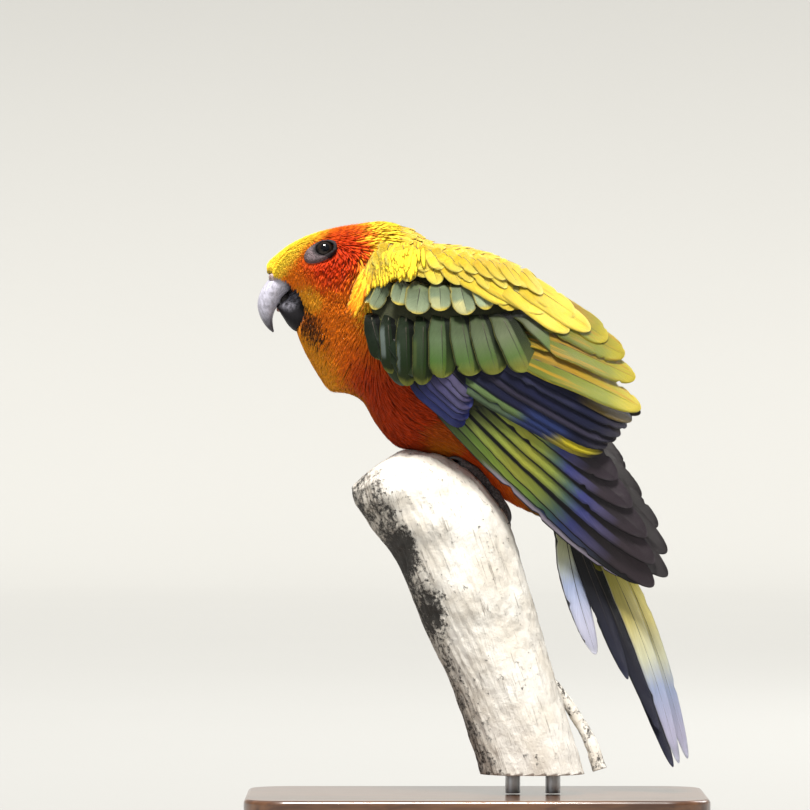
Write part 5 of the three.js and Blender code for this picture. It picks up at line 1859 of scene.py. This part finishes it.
class CONURE_OT_feet(bpy.types.Operator):
    """Make the feet, which grip the branch, and their claws"""

    bl_idname = "conure.make_feet"
    bl_label = "Feet"

    def execute(self, context):
        scales, horn = foot_finish(), claw_finish()
        for side, sign in SIDES.items():
            along, turned = FEET[side]
            parts, claws = [], []
            foot = branch_point(along, turned, TOE_RADIUS + 0.9)
            ankle = branch_point(along, turned, 8.0)
            top = np.array([SHANK_TOP[0], BIRD_Y + SHANK_TOP[1] * sign, SHANK_TOP[2]])
            parts.append(tube_form("shank", [foot, ankle, top], SHANK_RADII, 24, 20))
            parts.append(bead("pad", foot, (1, 1, 1), 0.0, 32, 20, PAD_RADIUS))
            for reach, swing in TOES:
                parts.append(self.toe(along, turned, reach, swing))
                claws.append(self.claw(along, turned, reach, swing))
            leg = join(parts, f"foot_{side}")
            apply_modifier(leg, "REMESH", mode="VOXEL", voxel_size=FOOT_VOXEL * MM, use_smooth_shade=True)
            apply_modifier(leg, "SMOOTH", factor=0.5, iterations=3)
            use(leg, scales, "leg_skin", f"leg_{side}")
            use(join(claws, f"claws_{side}"), horn, "leg_skin")
        return {"FINISHED"}

    def toe(self, along, turned, reach, swing):
        t = np.linspace(0, 1, 34)
        knuckle = 0.25 * np.abs(np.sin(2 * math.pi * t)) * (1 - 0.5 * t)
        line = branch_point(along + reach * t, turned + swing * t, TOE_RADIUS - 0.5 + knuckle)
        scutes = 0.07 * np.abs(np.sin(t * 34))
        joints = 0.22 * np.cos(4 * math.pi * t)
        radii = TOE_RADIUS + (TOE_TIP - TOE_RADIUS) * t + scutes + joints * 0.7
        return tube_form("toe", line, radii)

    def claw(self, along, turned, reach, swing):
        t = np.linspace(0, 1, 14)
        ahead = 0.94 + 0.05 / abs(reach) * np.sin(math.pi / 2 * t)
        lift = TOE_TIP + 1.2 * np.sin(math.pi * np.minimum(1, 0.2 + 0.7 * t)) - 1.6 * t * t
        line = branch_point(along + reach * ahead, turned + swing * ahead, lift)
        return tube_form("claw", line, CLAW_RADIUS * (1 - 0.86 * t**1.2))


class CONURE_OT_perch(bpy.types.Operator):
    """Make the weathered branch and its thin side shoot"""

    bl_idname = "conure.make_perch"
    bl_label = "Perch"

    def execute(self, context):
        wood = wood_finish()
        relief = settings()[2].bark_relief / MM

        def surface(u, angle):
            p = rail_point(BRANCH, u, angle, BRANCH_Y, 0.0)
            ridge = np.sin(5 * angle + 3 * np.sin(7 * u)) + 0.7 * np.sin(34 * u + 2 * angle)
            p[..., 1] = BRANCH_Y + (p[..., 1] - BRANCH_Y) * (1 + 0.0275 * ridge)
            p[..., 2] += 0.275 * ridge * np.cos(angle)
            return p

        ends = (end_middle(surface, 0.0), (0, 0, -2.0)), (end_middle(surface, 1.0), (-2.2, 0, 0.6))
        branch = capped_form("branch", 200, 330, 0.03, surface, ends)
        points = points_of(branch)
        x, y, z = points.T
        hollow = self.hollow(points)
        fine = np.array([noise.fractal(Vector(p * 0.16), 0.9, 2.2, 5) for p in points])
        stretched = np.stack([x * 0.5 + z * 0.3, y * 0.55, z * 0.035], -1)
        grain = np.array([noise.noise(Vector(p)) for p in stretched])
        depth = relief * (0.55 * fine + 0.8 * grain) - 1.7 * hollow * (0.6 + fine)
        set_points(branch, points + vectors_of(branch, "normal") * depth[:, None])
        add_attribute(branch, "hollow", hollow)
        cut = dict(plane_co=(0, 0, BRANCH_FOOT * MM), plane_no=(0, 0, 1), use_fill=True, clear_inner=True)
        edit_all(lambda: bpy.ops.mesh.bisect(**cut))
        use(branch, wood, "bleached_wood", "perch_branch")
        twig = tube_form("shoot", TWIG_ROUTE, TWIG_RADII, 24, 60)
        points = points_of(twig)
        rough = np.array([noise.fractal(Vector(p * 0.3), 0.9, 2.2, 4) for p in points])
        set_points(twig, points + vectors_of(twig, "normal") * (rough * 0.3)[:, None])
        add_attribute(twig, "hollow", np.full(len(points), 0.35))
        use(twig, wood, "bleached_wood", "perch_twig")
        return {"FINISHED"}

    def hollow(self, points):
        """1 in the rotten hollow of the branch's lower left side, 0 away from it."""
        x, y, z = points.T
        first = np.exp(-(((x + 30) / 6) ** 2) - ((z - 106) / 11) ** 2)
        second = 0.8 * np.exp(-(((x + 17) / 5) ** 2) - ((z - 84) / 10) ** 2)
        return np.clip(first + second, 0, 1) * rise(2, -8, y)


class CONURE_OT_stand(bpy.types.Operator):
    """Make the flat base and the two short rods under the branch"""

    bl_idname = "conure.make_stand"
    bl_label = "Stand"

    def execute(self, context):
        pick()
        size = np.array(BASE_SIZE) * MM
        bpy.ops.mesh.primitive_cube_add(size=1, location=(0, 0, size[2] / 2), scale=size)
        base = name_new("base")
        settle()
        self.round_edges(base, BASE_CORNER, 10, lambda a, b: abs(a[2] - b[2]) > 0.5 * size[2])
        self.round_edges(base, BASE_EDGE, 4, lambda a, b: abs(a[2] - b[2]) < 1e-5)
        use(base, base_finish(), "base_wood", "stand_base")
        steel = steel_finish()
        for k, node in enumerate(("stand_rod_1", "stand_rod_2")):
            first, last = (Vector(corner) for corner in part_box(node))
            middle = (first + last) / 2
            pick()
            bpy.ops.mesh.primitive_cylinder_add(
                vertices=48, radius=ROD_RADIUS * MM, depth=last.z - first.z, location=middle
            )
            rod = name_new(f"rod_{k + 1}")
            settle()
            apply_modifier(rod, "BEVEL", width=ROD_EDGE * MM, segments=3, limit_method="ANGLE")
            bpy.ops.object.shade_smooth_by_angle(angle=SHARP_ANGLE)
            use(rod, steel, "rod_steel", node)
        return {"FINISHED"}

    def round_edges(self, made, width, segments, wanted):
        """Bevels the edges whose two ends pass the test."""
        bpy.context.tool_settings.mesh_select_mode = (False, True, False)
        points = [v.co.copy() for v in made.data.vertices]
        bpy.ops.object.mode_set(mode="EDIT")
        bpy.ops.mesh.select_all(action="DESELECT")
        bpy.ops.object.mode_set(mode="OBJECT")
        for edge in made.data.edges:
            edge.select = wanted(*(points[i] for i in edge.vertices))
        bpy.ops.object.mode_set(mode="EDIT")
        bpy.ops.mesh.bevel(offset=width * MM, segments=segments, affect="EDGES")
        bpy.ops.object.mode_set(mode="OBJECT")
        bpy.ops.object.shade_smooth_by_angle(angle=SHARP_ANGLE)


class CONURE_OT_stage(bpy.types.Operator):
    """Set the pale floor, the soft lights and the camera"""

    bl_idname = "conure.set_stage"
    bl_label = "Stage"

    def execute(self, context):
        stage = settings()[3]
        pick()
        bpy.ops.mesh.primitive_grid_add(x_subdivisions=72, y_subdivisions=72, size=FLOOR_SIZE)
        floor = name_new("floor")
        points = points_of(floor) * MM
        far = np.maximum(np.hypot(points[:, 0], points[:, 1]), 1e-6)
        past = np.maximum(0, far - FLOOR_REACH)
        bend = np.clip(past * 2 / math.pi, 0, 1) * math.pi / 2
        points[:, :2] *= (np.where(past > 0, FLOOR_REACH + np.sin(bend), far) / far)[:, None]
        points[:, 2] = 1 - np.cos(bend) + np.maximum(0, past - math.pi / 2)
        set_points(floor, points / MM)
        bpy.ops.object.shade_smooth()
        finish = Finish("Pale floor", roughness=0.9)
        tint = finish.noise(finish.place(), 0.004)
        shade = finish.blend(tint * 0.12, stage.floor, (0.27, 0.27, 0.26))
        floor.data.materials.append(finish.done(shade))
        self.light("Key", (-0.12, -0.62, 1.6), stage.key_power, math.radians(15), (1.0, 0.97, 0.92), "SUN")
        self.light("Fill", (-1.3, -1.5, 0.35), stage.fill_power, 1.4, (0.93, 0.96, 1.0))
        self.light("Rim", (0.9, 0.9, 0.9), stage.rim_power, 0.7, (1.0, 1.0, 1.0))
        world = bpy.data.worlds.new("Even surround")
        world.use_nodes = True
        surround = world.node_tree.nodes["Background"]
        surround.inputs["Color"].default_value = (0.9, 0.94, 1.0, 1.0)
        surround.inputs["Strength"].default_value = stage.sky_strength
        context.scene.world = world
        camera_data = bpy.data.cameras.new("Photo camera")
        camera = bpy.data.objects.new("Photo camera", camera_data)
        context.collection.objects.link(camera)
        view = PHOTO_SIDE * PIXEL * MM
        camera_data.sensor_width = SENSOR
        camera_data.lens = SENSOR * stage.camera_distance / view
        camera_data.clip_start = 0.05
        camera_data.clip_end = 30.0
        x, z = PHOTO_CENTRE
        camera.location = (x * MM, BIRD_Y * MM - stage.camera_distance, z * MM)
        camera.rotation_euler = (math.pi / 2, 0, 0)
        context.scene.camera = camera
        context.scene.view_settings.view_transform = "Standard"
        return {"FINISHED"}

    def light(self, name, at, power, size, tint, kind="AREA"):
        """A soft light that faces the bird: a square one, or a distant one that spans an angle."""
        bpy.ops.object.light_add(type=kind, location=at)
        light = bpy.context.object
        light.name = name
        light.rotation_euler = (Vector(AIM) - Vector(at)).to_track_quat("-Z", "Y").to_euler()
        light.data.energy = power
        if kind == "SUN":
            light.data.angle = size
        else:
            light.data.size = size
        light.data.color = tint


OPERATORS = [
    CONURE_OT_skin,
    CONURE_OT_coat,
    CONURE_OT_mantle,
    CONURE_OT_wings,
    CONURE_OT_tail,
    CONURE_OT_bill,
    CONURE_OT_eyes,
    CONURE_OT_feet,
    CONURE_OT_perch,
    CONURE_OT_stand,
    CONURE_OT_stage,
]


class CONURE_PT_panel(bpy.types.Panel):
    """The pieces of the model, with the settings that they use"""

    bl_idname = "CONURE_PT_panel"
    bl_label = "Sun Conure"
    bl_space_type = "VIEW_3D"
    bl_region_type = "UI"
    bl_category = "Conure"

    def draw(self, context):
        for group in settings():
            box = self.layout.box()
            for field in group.bl_rna.properties:
                if field.identifier not in ("rna_type", "name"):
                    box.prop(group, field.identifier)
        for operator in OPERATORS:
            self.layout.operator(operator.bl_idname)


GROUPS = {
    "conure_plumage": PlumageSettings,
    "conure_bare": BareSettings,
    "conure_perch": PerchSettings,
    "conure_stage": StageSettings,
}


def register():
    for cls in [*GROUPS.values(), *OPERATORS, CONURE_PT_panel]:
        bpy.utils.register_class(cls)
    for name, group in GROUPS.items():
        setattr(bpy.types.Scene, name, PointerProperty(type=group))


def unregister():
    for name in GROUPS:
        delattr(bpy.types.Scene, name)
    for cls in reversed([*GROUPS.values(), *OPERATORS, CONURE_PT_panel]):
        bpy.utils.unregister_class(cls)


def main():
    """Makes the whole model."""
    register()
    for operator in OPERATORS:
        group, name = operator.bl_idname.split(".")
        getattr(getattr(bpy.ops, group), name)()


if __name__ == "__main__":
    main()
